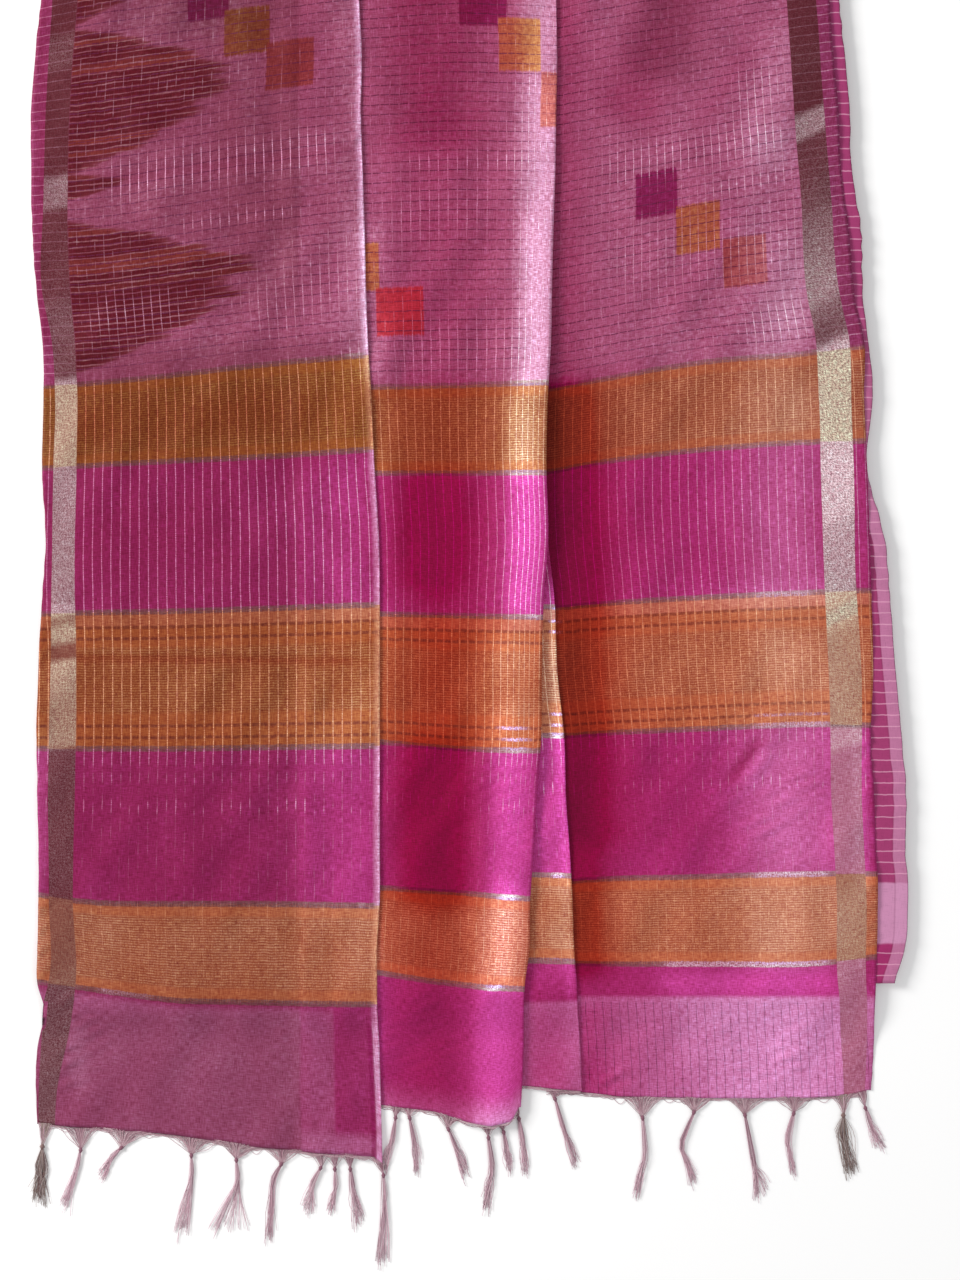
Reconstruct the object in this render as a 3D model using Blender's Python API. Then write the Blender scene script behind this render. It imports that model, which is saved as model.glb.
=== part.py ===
"""A sheer handwoven saree, folded for storage and laid flat with its end piece uppermost.

+X runs across the cloth, +Y runs up it away from the tasselled end, +Z is up and the cloth lies on Z = 0.
Sizes are millimetres until a mesh is made. "Down" is measured down the cloth from the line where the plain
ground of the end piece begins, "across" from the middle of the cloth, and "height" from the surface it lies on.

The end piece lies in knife pleats, each a wall of one thickness. From the left selvedge the cloth runs to the
first fold, turns under it and comes back as the middle panel, which rolls under at its right edge. It shows
again as the narrow pleat strip, turns under once more and ends as the right panel with the right selvedge.
Every panel bends round the top fold to the surface, and runs down past the hidden layers to the hem.
"""

import math

import bmesh
import bpy
import numpy as np

MM = 0.001

# The cloth, in millimetres: each wall, the seam between two walls, and one wall with its seam
WALL = 1.2
GAP = 0.3
PITCH = WALL + GAP

# The whole outline: its top fold, and its middle, which is the frame's origin
TOP_FOLD = 92.0
MIDDLE_ACROSS = 1.85
MIDDLE_DOWN = 652.55

# The hidden layers: how high they lie, how many show at the sides, where they end, and how far in from the edge
STACK = 10.0
LAYERS = 4
STACK_FOOT = 1088.0
STACK_INSET = 6.0
LAYER_NOTCH = 2.5
LAYER_WANDER = 1.3
TOP_INSET = 2.0
RECESS = PITCH + GAP / 2
NOSE_ANGLES = (80, 55, 30, 0)
NOSE_CLEARANCE = 0.1
NOSE_STEP = 0.5
FOOT_ROUND = 5.0
FOOT_SHARES = ((0.75, 0.7), (0.3, 1.0))

# The stretch behind: where it starts under the right panel, where it ends, and how its outer edge droops
UNDER_START = 144.0
UNDER_FOOT = 1093.0
UNDER_DROOP = ((3.0, 0.1), (0.0, 0.5))

# The pleats: how far each stretch runs under the next, and where a wall climbs onto the layers below it
FOLD_UNDERLAP = 68.0
FOLD_REACH = 0.9
TIP_WIDTH = 9.0
RAMP_START = 100.0
RAMP_END = 75.0
ROLL_START = 80.0
ROLL_CREST = 28.0
ROLL_UNDERLAP = 36.0
STRIP_TOP = 560.0
STRIP_UNDERLAP = 34.0
RIGHT_UNDERLAP = 30.0
CLEAR_OF_FOLD = 2.0
SETTLED = 16.0

# Past the hidden layers the end piece slopes down to the surface
SLOPE_START = 1097.0
SLOPE_END = 1161.0
HEM_STEPS = (0.45, 1.0)

# Facets round the top fold, a sharp fold and the roll
BEND_STEPS = 5
FOLD_STEPS = 4
ROLL_STEPS = 6

# Where the recess for the stretch behind starts across the hidden layers
RECESS_STEP = (134.0, 137.0)

# One row for each section down the cloth: where its edges and folds run across, and how high the roll stands
SECTION_COLUMNS = ("down", "left", "fold", "roll", "strip", "right", "under", "crown")
SECTIONS = (
    (0, -474, -121, 98, 98, 402, 414, 3.9),
    (67, -481, -118, 99, 99, 407, 421, 4.4),
    (122, -485, -119, 98, 98, 412, 426, 5.2),
    (189, -485, -117, 97, 97, 415, 428, 6.6),
    (250, -484, -115, 95, 95, 423, 438, 8.0),
    (333, -478, -113, 93, 93, 431, 441, 9.5),
    (383, -472, -111, 92, 92, 441, 447, 10.4),
    (433, -471, -108, 89, 89, 441, 452, 11.0),
    (517, -473, -104, 87, 87, 444, 445, 11.5),
    (600, -469, -99, 89, 89, 447, 465, 12.0),
    (667, -473, -98, 84, 96, 449, 471, 12.0),
    (744, -477, -98, 82, 99, 451, 477, 12.0),
    (822, -479, -98, 81, 107, 448, 484, 12.0),
    (889, -478, -98, 76, 109, 452, 489, 11.5),
    (944, -477, -98, 73, 113, 454, 488, 11.0),
    (1000, -477, -98, 69, 116, 456, 491, 10.5),
    (1056, -478, -101, 68, 118, 455, 487, 10.0),
    (1094, -478, -101, 63, 121, 454, 476, 9.5),
    (1122, -471, -101, 62, 122, 453, 476, 9.2),
    (1161, -479, -99, 62, 125, 453, 476, 9.0),
    (1260, -480, -95, 57, 128, 446, 476, 8.6),
)
DOWNS = [row[0] for row in SECTIONS[:-1]]

# Where the hem runs, panel by panel: across, down
HEMS = {
    "left_panel": ((-479, 1251), (-463, 1252), (-327, 1263), (-242, 1276), (-166, 1283), (-104, 1287), (-95, 1296)),
    "middle_panel": ((-186, 1228), (-95, 1230), (-37, 1237), (-2, 1248), (26, 1252), (49, 1247), (57, 1231)),
    "pleat_strip": ((36, 1207), (64, 1208), (128, 1214)),
    "right_panel": ((86, 1213), (131, 1216), (169, 1220), (258, 1222), (369, 1222), (425, 1219), (446, 1213)),
}

# Long soft swells of the single layers
SWELL_COLUMNS = ("across", "down", "half_width", "half_length", "lean", "height")
SWELLS = (
    (-330, 170, 60, 190, 0.06, 2.6),
    (-420, 640, 34, 260, -0.02, 1.6),
    (-290, 860, 60, 150, 0.10, 2.0),
    (-340, 1150, 70, 70, 0.0, 1.6),
    (300, 150, 70, 160, -0.22, 2.8),
    (360, 560, 44, 220, 0.04, 2.2),
    (250, 800, 50, 190, -0.08, 1.8),
    (330, 1130, 70, 80, 0.05, 1.8),
)

# Each tassel: the hem it hangs from, its root across, the width of thread it gathers, then the knot, the bend and
# the two outer tips as across and down
TASSEL_COLUMNS = (
    "panel",
    "root",
    "gather",
    "knot_across",
    "knot_down",
    "bend_across",
    "bend_down",
    "first_across",
    "first_down",
    "last_across",
    "last_down",
    "strands",
)
TASSELS = (
    ("left_panel", -471, 13, -474, 1274, -476, 1300, -487, 1332, -467, 1337, 7),
    ("left_panel", -433, 13, -431, 1278, -435, 1298, -453, 1342, -446, 1339, 4),
    ("left_panel", -377, 15, -385, 1276, -397, 1289, -412, 1308, -405, 1310, 4),
    ("left_panel", -308, 24, -308, 1284, -308, 1309, -328, 1368, -311, 1368, 5),
    ("left_panel", -258, 24, -258, 1289, -256, 1313, -291, 1366, -241, 1363, 5),
    ("left_panel", -208, 22, -207, 1294, -217, 1314, -224, 1376, -217, 1373, 4),
    ("left_panel", -167, 13, -163, 1298, -173, 1318, -186, 1342, -171, 1350, 4),
    ("left_panel", -149, 8, -148, 1299, -148, 1320, -156, 1346, -149, 1346, 4),
    ("left_panel", -132, 8, -131, 1299, -129, 1322, -127, 1362, -115, 1353, 4),
    ("left_panel", -98, 4, -94, 1306, -92, 1333, -102, 1404, -88, 1402, 5),
    ("middle_panel", -80, 8, -80, 1242, -84, 1267, -95, 1300, -89, 1300, 4),
    ("middle_panel", -65, 8, -65, 1242, -60, 1267, -59, 1301, -53, 1299, 4),
    ("middle_panel", -24, 15, -22, 1255, -14, 1276, -5, 1307, 1, 1304, 4),
    ("middle_panel", 20, 11, 23, 1264, 27, 1300, 17, 1339, 27, 1349, 5),
    ("middle_panel", 37, 7, 40, 1258, 43, 1278, 44, 1300, 50, 1299, 4),
    ("middle_panel", 54, 3, 57, 1243, 61, 1269, 61, 1301, 67, 1300, 4),
    ("pleat_strip", 98, 15, 97, 1221, 107, 1256, 117, 1297, 124, 1293, 4),
    ("right_panel", 194, 24, 195, 1242, 198, 1284, 186, 1329, 193, 1329, 4),
    ("right_panel", 252, 22, 253, 1236, 238, 1273, 248, 1316, 255, 1312, 4),
    ("right_panel", 309, 22, 309, 1239, 319, 1294, 319, 1331, 336, 1323, 4),
    ("right_panel", 365, 22, 364, 1237, 357, 1267, 359, 1304, 366, 1304, 4),
    ("right_panel", 418, 13, 419, 1239, 418, 1260, 422, 1306, 433, 1302, 7),
    ("right_panel", 440, 6, 443, 1231, 448, 1249, 453, 1270, 465, 1278, 4),
)

# Tassel threads, in millimetres
ROOT_CLEARANCE = 0.35
ROOT_THICKNESS = 1.0
NECK = (2.4, 1.6)
KNOT = (4.6, 3.2)
KNOT_LENGTH = 4.0
KNOT_FOOT = 1.5
STRAND = 0.95
STRAND_SPACE = 1.35
TIP_SHARE = 0.62
BEND_SHARE = 0.9
BEND_HEIGHT = 1.25
TIP_HEIGHT = 0.9

# Colours as linear red, green and blue
FINISHES = {
    "sheer_pink": ((0.44, 0.12, 0.28), 0.62),
    "magenta": ((0.36, 0.03, 0.16), 0.6),
    "tassel": ((0.42, 0.26, 0.30), 0.7),
}


def column(name):
    """One named column of the section table, as an array."""
    return np.array([row[SECTION_COLUMNS.index(name)] for row in SECTIONS], float)


def edge(name, down):
    """Where a named edge runs at a given distance down the cloth."""
    return float(np.interp(down, column("down"), column(name)))


def smooth(value, start, end):
    """A soft step from 0 at start to 1 at end."""
    share = np.clip((value - start) / (end - start), 0.0, 1.0)
    return share * share * (3.0 - 2.0 * share)


def hem(panel, across):
    """How far down a panel's hem lies at a distance across."""
    points = HEMS[panel]
    return float(np.interp(across, [p[0] for p in points], [p[1] for p in points]))


def ground(down):
    """Height that the end piece rests on: the hidden layers, then a slope to just under the surface's level."""
    return STACK - (STACK + GAP) * float(smooth(down, SLOPE_START, SLOPE_END))


def layer(number):
    """Height of a layer's middle over what it rests on, counted from 1."""
    return GAP + WALL / 2 + (number - 1) * PITCH


def swell(across, down):
    """Height of the long soft swells at a point."""
    total = 0.0
    for row in SWELLS:
        bump = dict(zip(SWELL_COLUMNS, row))
        along = down - bump["down"]
        aside = across - bump["across"] - bump["lean"] * along
        total += bump["height"] * math.exp(-((aside / bump["half_width"]) ** 2) - (along / bump["half_length"]) ** 2)
    return total


def roll_layer(down):
    """The layer on which the roll's underside runs: low at the top fold, above the pleat strip further down."""
    return 2.0 + 2.0 * float(smooth(down, STRIP_TOP - 260, STRIP_TOP - 60))


def bend_changes():
    """Where the pleats start and stop piling up at the top fold, from left to right, as pairs of start and end."""
    fold = edge("fold", 0)
    roll = edge("roll", 0)
    by_fold = ((fold - RAMP_START, fold - RAMP_END), (fold + CLEAR_OF_FOLD, fold + SETTLED))
    by_roll = ((roll - ROLL_START, roll - ROLL_UNDERLAP - 6), (roll + CLEAR_OF_FOLD, roll + SETTLED))
    return by_fold + by_roll


def bend_axis(across):
    """Height of the line that the end piece bends round at the top fold. It is higher where the pleats pile up."""
    single = (STACK + layer(1) + WALL / 2) / 2
    piled = (STACK + layer(3) + WALL / 2) / 2
    share = 0.0
    for number, (start, end) in enumerate(bend_changes()):
        share += float(smooth(across, start, end)) * (-1) ** number
    return single + (piled - single) * share


def turn(across, upper, lower, reach, steps):
    """Points round a fold that faces right, from the upper layer to the lower: across, height, normal."""
    middle = (upper + lower) / 2
    radius = (upper - lower) / 2
    points = []
    for step in range(steps + 1):
        angle = math.pi * step / steps
        points.append(
            (across - reach + reach * math.sin(angle), middle + radius * math.cos(angle), math.sin(angle), math.cos(angle))
        )
    return points


def flat(places, height):
    """Points along a level stretch that faces up."""
    return [(across, height, 0.0, 1.0) for across in places]


def returning(places, height):
    """Points along a level stretch that runs back underneath and faces down."""
    return [(across, height, 0.0, -1.0) for across in places]


def rise(start, end, low, high, steps):
    """Points up a soft step between two heights, without its foot and head."""
    points = []
    for step in range(1, steps):
        across = start + (end - start) * step / steps
        share = step / steps
        slope = (high - low) / (end - start) * 6 * share * (1 - share)
        length = math.hypot(1.0, slope)
        height = low + (high - low) * float(smooth(share, 0.0, 1.0))
        points.append((across, height, -slope / length, 1.0 / length))
    return points


def left_section(down):
    """Left panel: level, up onto the turned layers, round the first fold and back underneath."""
    left, fold = edge("left", down), edge("fold", down)
    foot = fold - RAMP_START
    head = fold - RAMP_END
    middle = fold - RAMP_END / 2
    tip = fold - TIP_WIDTH
    points = flat(np.linspace(left, foot, 8), layer(1))
    points += rise(foot, head, layer(1), layer(3), 3)
    points += flat((head, middle, tip), layer(3))
    points += turn(fold, layer(3), layer(2), FOLD_REACH, FOLD_STEPS)
    return points + returning((tip, middle, fold - FOLD_UNDERLAP), layer(2))


def middle_section(down):
    """Middle panel: from under the first fold across the valley, up the roll, round its edge and back underneath."""
    fold, roll, crown = edge("fold", down), edge("roll", down), edge("crown", down)
    start = fold - FOLD_UNDERLAP - CLEAR_OF_FOLD
    foot = roll - ROLL_START
    head = roll - ROLL_CREST
    lower = layer(roll_layer(down))
    reach = FOLD_REACH * (crown - lower) / 2
    points = flat((start, (start + fold) / 2, fold + CLEAR_OF_FOLD), layer(1))
    points += flat(np.linspace(fold + SETTLED, foot, 4), layer(1))
    points += rise(foot, head, layer(1), crown, 6)
    points += flat((head, (head + roll) / 2), crown)
    points += turn(roll, crown, lower, reach, ROLL_STEPS)
    return points + returning((roll - ROLL_UNDERLAP,), lower)


def strip_section(down):
    """Pleat strip: from under the roll to its own fold and back underneath."""
    roll, strip = edge("roll", down), edge("strip", down)
    points = flat(np.linspace(roll - STRIP_UNDERLAP, strip - TIP_WIDTH, 4), layer(3))
    points += turn(strip, layer(3), layer(2), FOLD_REACH, FOLD_STEPS)
    return points + returning((strip - SETTLED, strip - RIGHT_UNDERLAP - CLEAR_OF_FOLD), layer(2))


def right_section(down):
    """Right panel: from under the pleats to the right selvedge."""
    strip, right = edge("strip", down), edge("right", down)
    points = flat((strip - RIGHT_UNDERLAP, strip + CLEAR_OF_FOLD), layer(1))
    return points + flat(np.linspace(strip + SETTLED, right, 9), layer(1))


def under_section(down):
    """The stretch behind: level, from under the right panel to the outer edge, where it droops a little."""
    right, under = edge("right", down), edge("under", down)
    height = STACK - RECESS + layer(1)
    points = flat((UNDER_START, (UNDER_START + right) / 2, right - 30, right - 6), height)
    for inset, drop in UNDER_DROOP:
        points += flat((under - inset,), height - drop)
    return points


SECTIONS_BY_PANEL = {
    "left_panel": left_section,
    "middle_panel": middle_section,
    "pleat_strip": strip_section,
    "right_panel": right_section,
}


def wrapped(point, angle):
    """A section point bent round the top fold by an angle: its place and normal."""
    across, height, aside, up = point
    axis = bend_axis(across)
    radius = height - axis
    place = (across, -TOP_FOLD - radius * math.sin(angle), axis + radius * math.cos(angle))
    return place, (aside, -up * math.sin(angle), up * math.cos(angle))


def wall_rows(panel, section, downs):
    """Rows of places and normals for a panel: round the top fold from underneath, then down the cloth to its hem."""
    front = panel in HEMS
    places, normals = [], []
    if downs[0] == 0:
        lift = STACK if front else 0.0
        for angle in np.linspace(math.pi, 0.0, BEND_STEPS + 1):
            bent = [wrapped((x, z + lift, nx, nz), angle) for x, z, nx, nz in section(0)]
            places.append([place for place, normal in bent])
            normals.append([normal for place, normal in bent])
    shares = (0.0,) + HEM_STEPS if front else (0.0,)
    stops = [(down, 0.0) for down in downs] + [(downs[-1], share) for share in shares[1:]]
    for start, share in stops:
        level = start + share * (hem(panel, section(start)[0][0]) - start) if share else start
        row, facing = [], []
        for x, z, nx, nz in section(level):
            down = start + share * (hem(panel, x) - start) if share else start
            rest = ground(down) + swell(x, down) if front else 0.0
            row.append((x, down, z + rest))
            facing.append((nx, 0.0, nz))
        places.append(row)
        normals.append(facing)
    return np.array(places), np.array(normals)


def to_world(places):
    """Millimetres across, down and up as metres along X, Y and Z."""
    x = (places[..., 0] - MIDDLE_ACROSS) * MM
    y = (MIDDLE_DOWN - places[..., 1]) * MM
    return np.stack([x, y, places[..., 2] * MM], axis=-1)


def make_object(name, vertices, faces, finish):
    """A mesh object with its own material and its faces turned outwards."""
    mesh = bpy.data.meshes.new(name)
    mesh.from_pydata([tuple(v) for v in vertices], [], faces)
    shape = bmesh.new()
    shape.from_mesh(mesh)
    bmesh.ops.recalc_face_normals(shape, faces=shape.faces)
    shape.to_mesh(mesh)
    shape.free()
    add_object(name, mesh, finish)


def add_object(name, mesh, finish):
    """Puts a finished mesh into the scene with a named finish."""
    colour, roughness = FINISHES[finish]
    material = bpy.data.materials.new(name)
    material.use_nodes = True
    shader = material.node_tree.nodes["Principled BSDF"]
    shader.inputs["Base Color"].default_value = (*colour, 1.0)
    shader.inputs["Roughness"].default_value = roughness
    shader.inputs["Metallic"].default_value = 0.0
    mesh.materials.append(material)
    mesh.shade_smooth()
    mesh.set_sharp_from_angle(angle=math.radians(40))
    item = bpy.data.objects.new(name, mesh)
    bpy.context.scene.collection.objects.link(item)


def add_wall(name, section, downs, finish):
    """A closed wall of even thickness: an outer skin, an inner skin and a rim round them."""
    places, normals = wall_rows(name, section, downs)
    outer = to_world(places + normals * WALL / 2)
    inner = to_world(places - normals * WALL / 2)
    rows, columns = outer.shape[:2]
    count = rows * columns

    def at(row, col):
        return row * columns + col

    faces = []
    for row in range(rows - 1):
        for col in range(columns - 1):
            quad = [at(row, col), at(row, col + 1), at(row + 1, col + 1), at(row + 1, col)]
            faces.append(quad)
            faces.append([count + corner for corner in reversed(quad)])
    rim = [at(0, col) for col in range(columns)]
    rim += [at(row, columns - 1) for row in range(1, rows)]
    rim += [at(rows - 1, col) for col in range(columns - 2, -1, -1)]
    rim += [at(row, 0) for row in range(rows - 2, 0, -1)]
    for start, end in zip(rim, rim[1:] + rim[:1]):
        faces.append([start, count + start, count + end, end])
    vertices = np.concatenate([outer.reshape(-1, 3), inner.reshape(-1, 3)])
    make_object(name, vertices, faces, finish)


def stack_loop(down, low, high):
    """One closed section of the hidden layers, from left to right over the top and back along the flat underside.

    low and high give the section's lowest and highest height at a place across. The sides are notched where one
    layer ends on the next, each a little further out or in than its neighbours.
    """
    left = edge("left", down) + STACK_INSET
    right = edge("under", down) - STACK_INSET
    changes = [place for pair in bend_changes() for place in pair]
    places = [left + TOP_INSET, -300, *changes, *RECESS_STEP, 280, right - TOP_INSET]
    loop = [(across, high(across)) for across in places]
    for number in range(LAYERS, 0, -1):
        wander = LAYER_WANDER * math.sin(down / 130 + number * 2.1)
        loop.append((right + wander, between(right, (number - 0.5) / LAYERS, low, high)))
        if number > 1:
            loop.append((right - LAYER_NOTCH, between(right, (number - 1) / LAYERS, low, high)))
    loop += [(across, low(across)) for across in reversed(places)]
    for number in range(1, LAYERS + 1):
        wander = LAYER_WANDER * math.sin(down / 150 + number * 1.7)
        loop.append((left - wander, between(left, (number - 0.5) / LAYERS, low, high)))
        if number < LAYERS:
            loop.append((left + LAYER_NOTCH, between(left, number / LAYERS, low, high)))
    return loop


def between(across, share, low, high):
    """A height at a share of the way from the lowest to the highest."""
    return low(across) + (high(across) - low(across)) * share


def stack_top(across):
    """Top of the hidden layers, with a recess on the right where the stretch behind lies flush."""
    return STACK if across <= RECESS_STEP[0] else STACK - RECESS


def nose_radius(across):
    """Radius of the hidden layers' rounded end inside the top fold."""
    return STACK - RECESS - bend_axis(across)


def add_stack():
    """The hidden layers as one rounded solid: a nose in the top fold, the body, and a rounded foot."""
    rows = []
    for angle in NOSE_ANGLES:
        rise_share = math.cos(math.radians(angle))
        reach_share = math.sin(math.radians(angle))
        loop = stack_loop(
            0,
            lambda across: bend_axis(across) - nose_radius(across) * rise_share,
            lambda across: bend_axis(across) + nose_radius(across) * rise_share,
        )
        start = -TOP_FOLD + NOSE_CLEARANCE
        rows.append([(x, start - nose_radius(x) * reach_share, z) for x, z in loop])
    foot_start = STACK_FOOT - FOOT_ROUND
    downs = [down for down in DOWNS[::2] if down < foot_start - FOOT_ROUND]
    for down in [-TOP_FOLD + NOSE_CLEARANCE + NOSE_STEP, *downs, foot_start]:
        loop = stack_loop(max(down, 0), lambda across: 0.0, stack_top)
        rows.append([(x, down, z) for x, z in loop])
    for height_share, reach_share in FOOT_SHARES:
        low = STACK / 2 * (1 - height_share)
        rows.append([(x, foot_start + FOOT_ROUND * reach_share, low + z * height_share) for x, z in loop])
    columns = len(rows[0])
    faces = [list(range(columns))]
    for start in range(0, (len(rows) - 1) * columns, columns):
        for col in range(columns):
            after = (col + 1) % columns
            faces.append([start + col, start + after, start + columns + after, start + columns + col])
    faces.append([(len(rows) - 1) * columns + col for col in range(columns)])
    make_object("folded_layers", to_world(np.array(rows)).reshape(-1, 3), faces, "sheer_pink")


def hem_line(panel):
    """The hem of a panel's upper side as it is built: across, down and height of each point, from left to right."""
    section = SECTIONS_BY_PANEL[panel]
    level = hem(panel, section(DOWNS[-1])[0][0])
    points = [(x, z) for x, z, _, up in section(level) if up > 0.1]
    across = np.array([x for x, _ in points])
    down = np.array([hem(panel, x) for x in across])
    rest = [ground(d) + swell(x, d) for x, d in zip(across, down)]
    return across, down, np.array([z for _, z in points]) + rest


def root_ring(panel, root, gather, count):
    """A flat ring of 2 (count + 1) points along the hem, from left to right over the top and back underneath."""
    across, down, height = hem_line(panel)
    ring = []
    for side in (1, -1):
        for place in root + side * np.linspace(-gather / 2, gather / 2, count + 1):
            start = float(np.interp(place, across, down)) + ROOT_CLEARANCE
            ring.append((place, start, float(np.interp(place, across, height)) + side * ROOT_THICKNESS / 2))
    return ring


def thread_ring(middle, height, heading, size, count):
    """The same ring round a place on the thread, square to the way it runs, with a width and a thickness."""
    width, thickness = size
    aside = np.array([heading[1], -heading[0]])
    ring = []
    for side in (1, -1):
        for share in np.linspace(-width / 2, width / 2, count + 1) * side:
            place = middle + aside * share
            ring.append((place[0], place[1], height + side * thickness / 2))
    return ring


def add_tassel(number, row):
    """A tassel: loose threads gathered from the hem into a knot, and strands that part below it."""
    thread = dict(zip(TASSEL_COLUMNS, row))
    panel, count = thread["panel"], thread["strands"]
    knot, bend, first, last = (
        np.array([thread[f"{stop}_across"], thread[f"{stop}_down"]], float) for stop in ("knot", "bend", "first", "last")
    )
    heading = (bend - knot) / np.linalg.norm(bend - knot)
    bundle = count * STRAND_SPACE
    across, _, height = hem_line(panel)
    knot_height = KNOT[1] / 2 + min(0.6, max(0.3, float(np.interp(thread["root"], across, height)) - KNOT[1] / 2))
    middle = knot + heading * KNOT_LENGTH / 2
    rings = (
        root_ring(panel, thread["root"], thread["gather"], count),
        thread_ring(knot, knot_height, heading, NECK, count),
        thread_ring(middle, knot_height, heading, (min(bundle, KNOT[0]), KNOT[1]), count),
        thread_ring(knot + heading * KNOT_LENGTH, KNOT[1] / 2, heading, (bundle * 0.8, KNOT_FOOT), count),
    )
    shape = bmesh.new()
    loops = [[shape.verts.new(place) for place in to_world(np.array(ring))] for ring in rings]
    size = 2 * (count + 1)
    for upper, lower in zip(loops, loops[1:]):
        for index in range(size):
            after = (index + 1) % size
            shape.faces.new([upper[index], upper[after], lower[after], lower[index]])
    for loop in (loops[0], loops[-1]):
        roots = [
            shape.faces.new([loop[index], loop[index + 1], loop[size - 2 - index], loop[size - 1 - index]])
            for index in range(count)
        ]
    bmesh.ops.recalc_face_normals(shape, faces=shape.faces)
    aside = np.array([heading[1], -heading[0]])
    for index, root in enumerate(sorted(roots, key=lambda face: face.calc_center_median().x)):
        tip = first + (last - first) * index / (count - 1)
        spread = (index - (count - 1) / 2) * STRAND_SPACE
        stops = ((*(bend + aside * spread), BEND_HEIGHT, BEND_SHARE), (*tip, TIP_HEIGHT, TIP_SHARE))
        draw_strand(shape, root, stops)
    mesh = bpy.data.meshes.new("tassel")
    shape.to_mesh(mesh)
    shape.free()
    add_object(f"tassel_{number:02d}", mesh, "tassel")


def draw_strand(shape, root, stops):
    """Draws one strand out of a face of the knot through its stops: across, down, height and share of full size."""
    bmesh.ops.inset_individual(shape, faces=[root], thickness=STRAND / 8 * MM, use_even_offset=False)
    face = root
    for across, down, height, share in stops:
        face = bmesh.ops.extrude_discrete_faces(shape, faces=[face])["faces"][0]
        middle = face.calc_center_median()
        corners = sorted(face.verts, key=lambda vert: math.atan2(vert.co.z - middle.z, vert.co.x - middle.x))
        target = to_world(np.array((across, down, height)))
        half = STRAND / 2 * MM * share
        for corner, (x_side, z_side) in zip(corners, ((-1, -1), (1, -1), (1, 1), (-1, 1))):
            corner.co = (target[0] + half * x_side, target[1], target[2] + half * z_side)


def clear_scene():
    """Starts from an empty scene."""
    for item in list(bpy.data.objects):
        bpy.data.objects.remove(item, do_unlink=True)


def main():
    """Makes the hidden layers, each stretch that shows, and the tassels."""
    clear_scene()
    add_stack()
    add_wall("under_layer", under_section, [down for down in DOWNS if down < UNDER_FOOT] + [UNDER_FOOT], "sheer_pink")
    for panel, section in SECTIONS_BY_PANEL.items():
        below = [down for down in DOWNS if down > STRIP_TOP]
        downs = [STRIP_TOP, *below] if panel == "pleat_strip" else DOWNS
        add_wall(panel, section, downs, "magenta")
    for number, row in enumerate(TASSELS, start=1):
        add_tassel(number, row)


main()
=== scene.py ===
"""Dresses a folded handwoven saree: its sheer banded end piece, the stretches behind it and its tassels.

Sizes in the tables are millimetres: "across" from the middle of the cloth, positive to the right, "down" from
the line where the photograph's top edge crosses it, and "height" from the surface that the cloth lies on.
"Woven" sizes are measured on the cloth itself: up from the hem, and in from the zari border.
"""

import math

import bpy
import numpy as np
from bpy.props import FloatProperty, FloatVectorProperty, IntProperty, PointerProperty
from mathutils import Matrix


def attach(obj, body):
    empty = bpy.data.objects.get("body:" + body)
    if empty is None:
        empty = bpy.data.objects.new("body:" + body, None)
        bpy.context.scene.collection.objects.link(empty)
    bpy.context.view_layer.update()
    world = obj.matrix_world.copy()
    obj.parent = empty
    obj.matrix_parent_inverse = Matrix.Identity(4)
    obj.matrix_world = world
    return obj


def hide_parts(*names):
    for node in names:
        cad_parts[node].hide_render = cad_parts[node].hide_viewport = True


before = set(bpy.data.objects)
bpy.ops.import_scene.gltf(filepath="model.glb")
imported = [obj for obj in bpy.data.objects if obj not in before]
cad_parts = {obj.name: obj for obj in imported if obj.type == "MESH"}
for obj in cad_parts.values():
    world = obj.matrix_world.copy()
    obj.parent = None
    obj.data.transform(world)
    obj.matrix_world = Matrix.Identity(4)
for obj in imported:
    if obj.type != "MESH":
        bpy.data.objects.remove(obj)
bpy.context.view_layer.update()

bl_info = {
    "name": "Folded saree",
    "version": (1, 0, 0),
    "blender": (4, 5, 0),
    "location": "3D View > Sidebar > Saree",
    "description": "Dresses a folded saree with woven bands, zari borders, ikat edge and knotted tassels",
    "category": "Object",
}

MM = 0.001
ROOT = "root"

# The cloth as it lies: its skin over a wall's middle, one wall with its seam, and the rise of the first
SKIN = 0.6
PITCH = 1.5
FIRST_LAYER = 0.9
STACK = 10.0
RECESS = 1.65
TOP_FOLD = 92.0
MIDDLE_ACROSS = 1.85
MIDDLE_DOWN = 652.55
SLOPE = (1097.0, 1161.0)

# The pleats, as far as they run under each other
FOLD_UNDERLAP = 68.0
FOLD_REACH = 0.9
TIP_WIDTH = 9.0
RAMP = (100.0, 75.0)
ROLL_START = 80.0
ROLL_CREST = 28.0
ROLL_UNDERLAP = 36.0
STRIP_TOP = 560.0
STRIP_UNDERLAP = 34.0
RIGHT_UNDERLAP = 30.0
CLEAR_OF_FOLD = 2.0
SETTLED = 16.0
UNDER_START = 144.0
UNDER_FOOT = 1093.0
LAST_SECTION = 1161.0

# How wide the border of the stretch behind is, and how far in from the first fold its lit rim is measured
UNDER_BORDER = 16.0
RIM_WIDTH = 20.0

# How the rows run: round the top fold, and the stretch that ends at the hem
TURN_ROWS = 15
TURN_RADIUS = 5.7
HEM_REACH = 95.0

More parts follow.
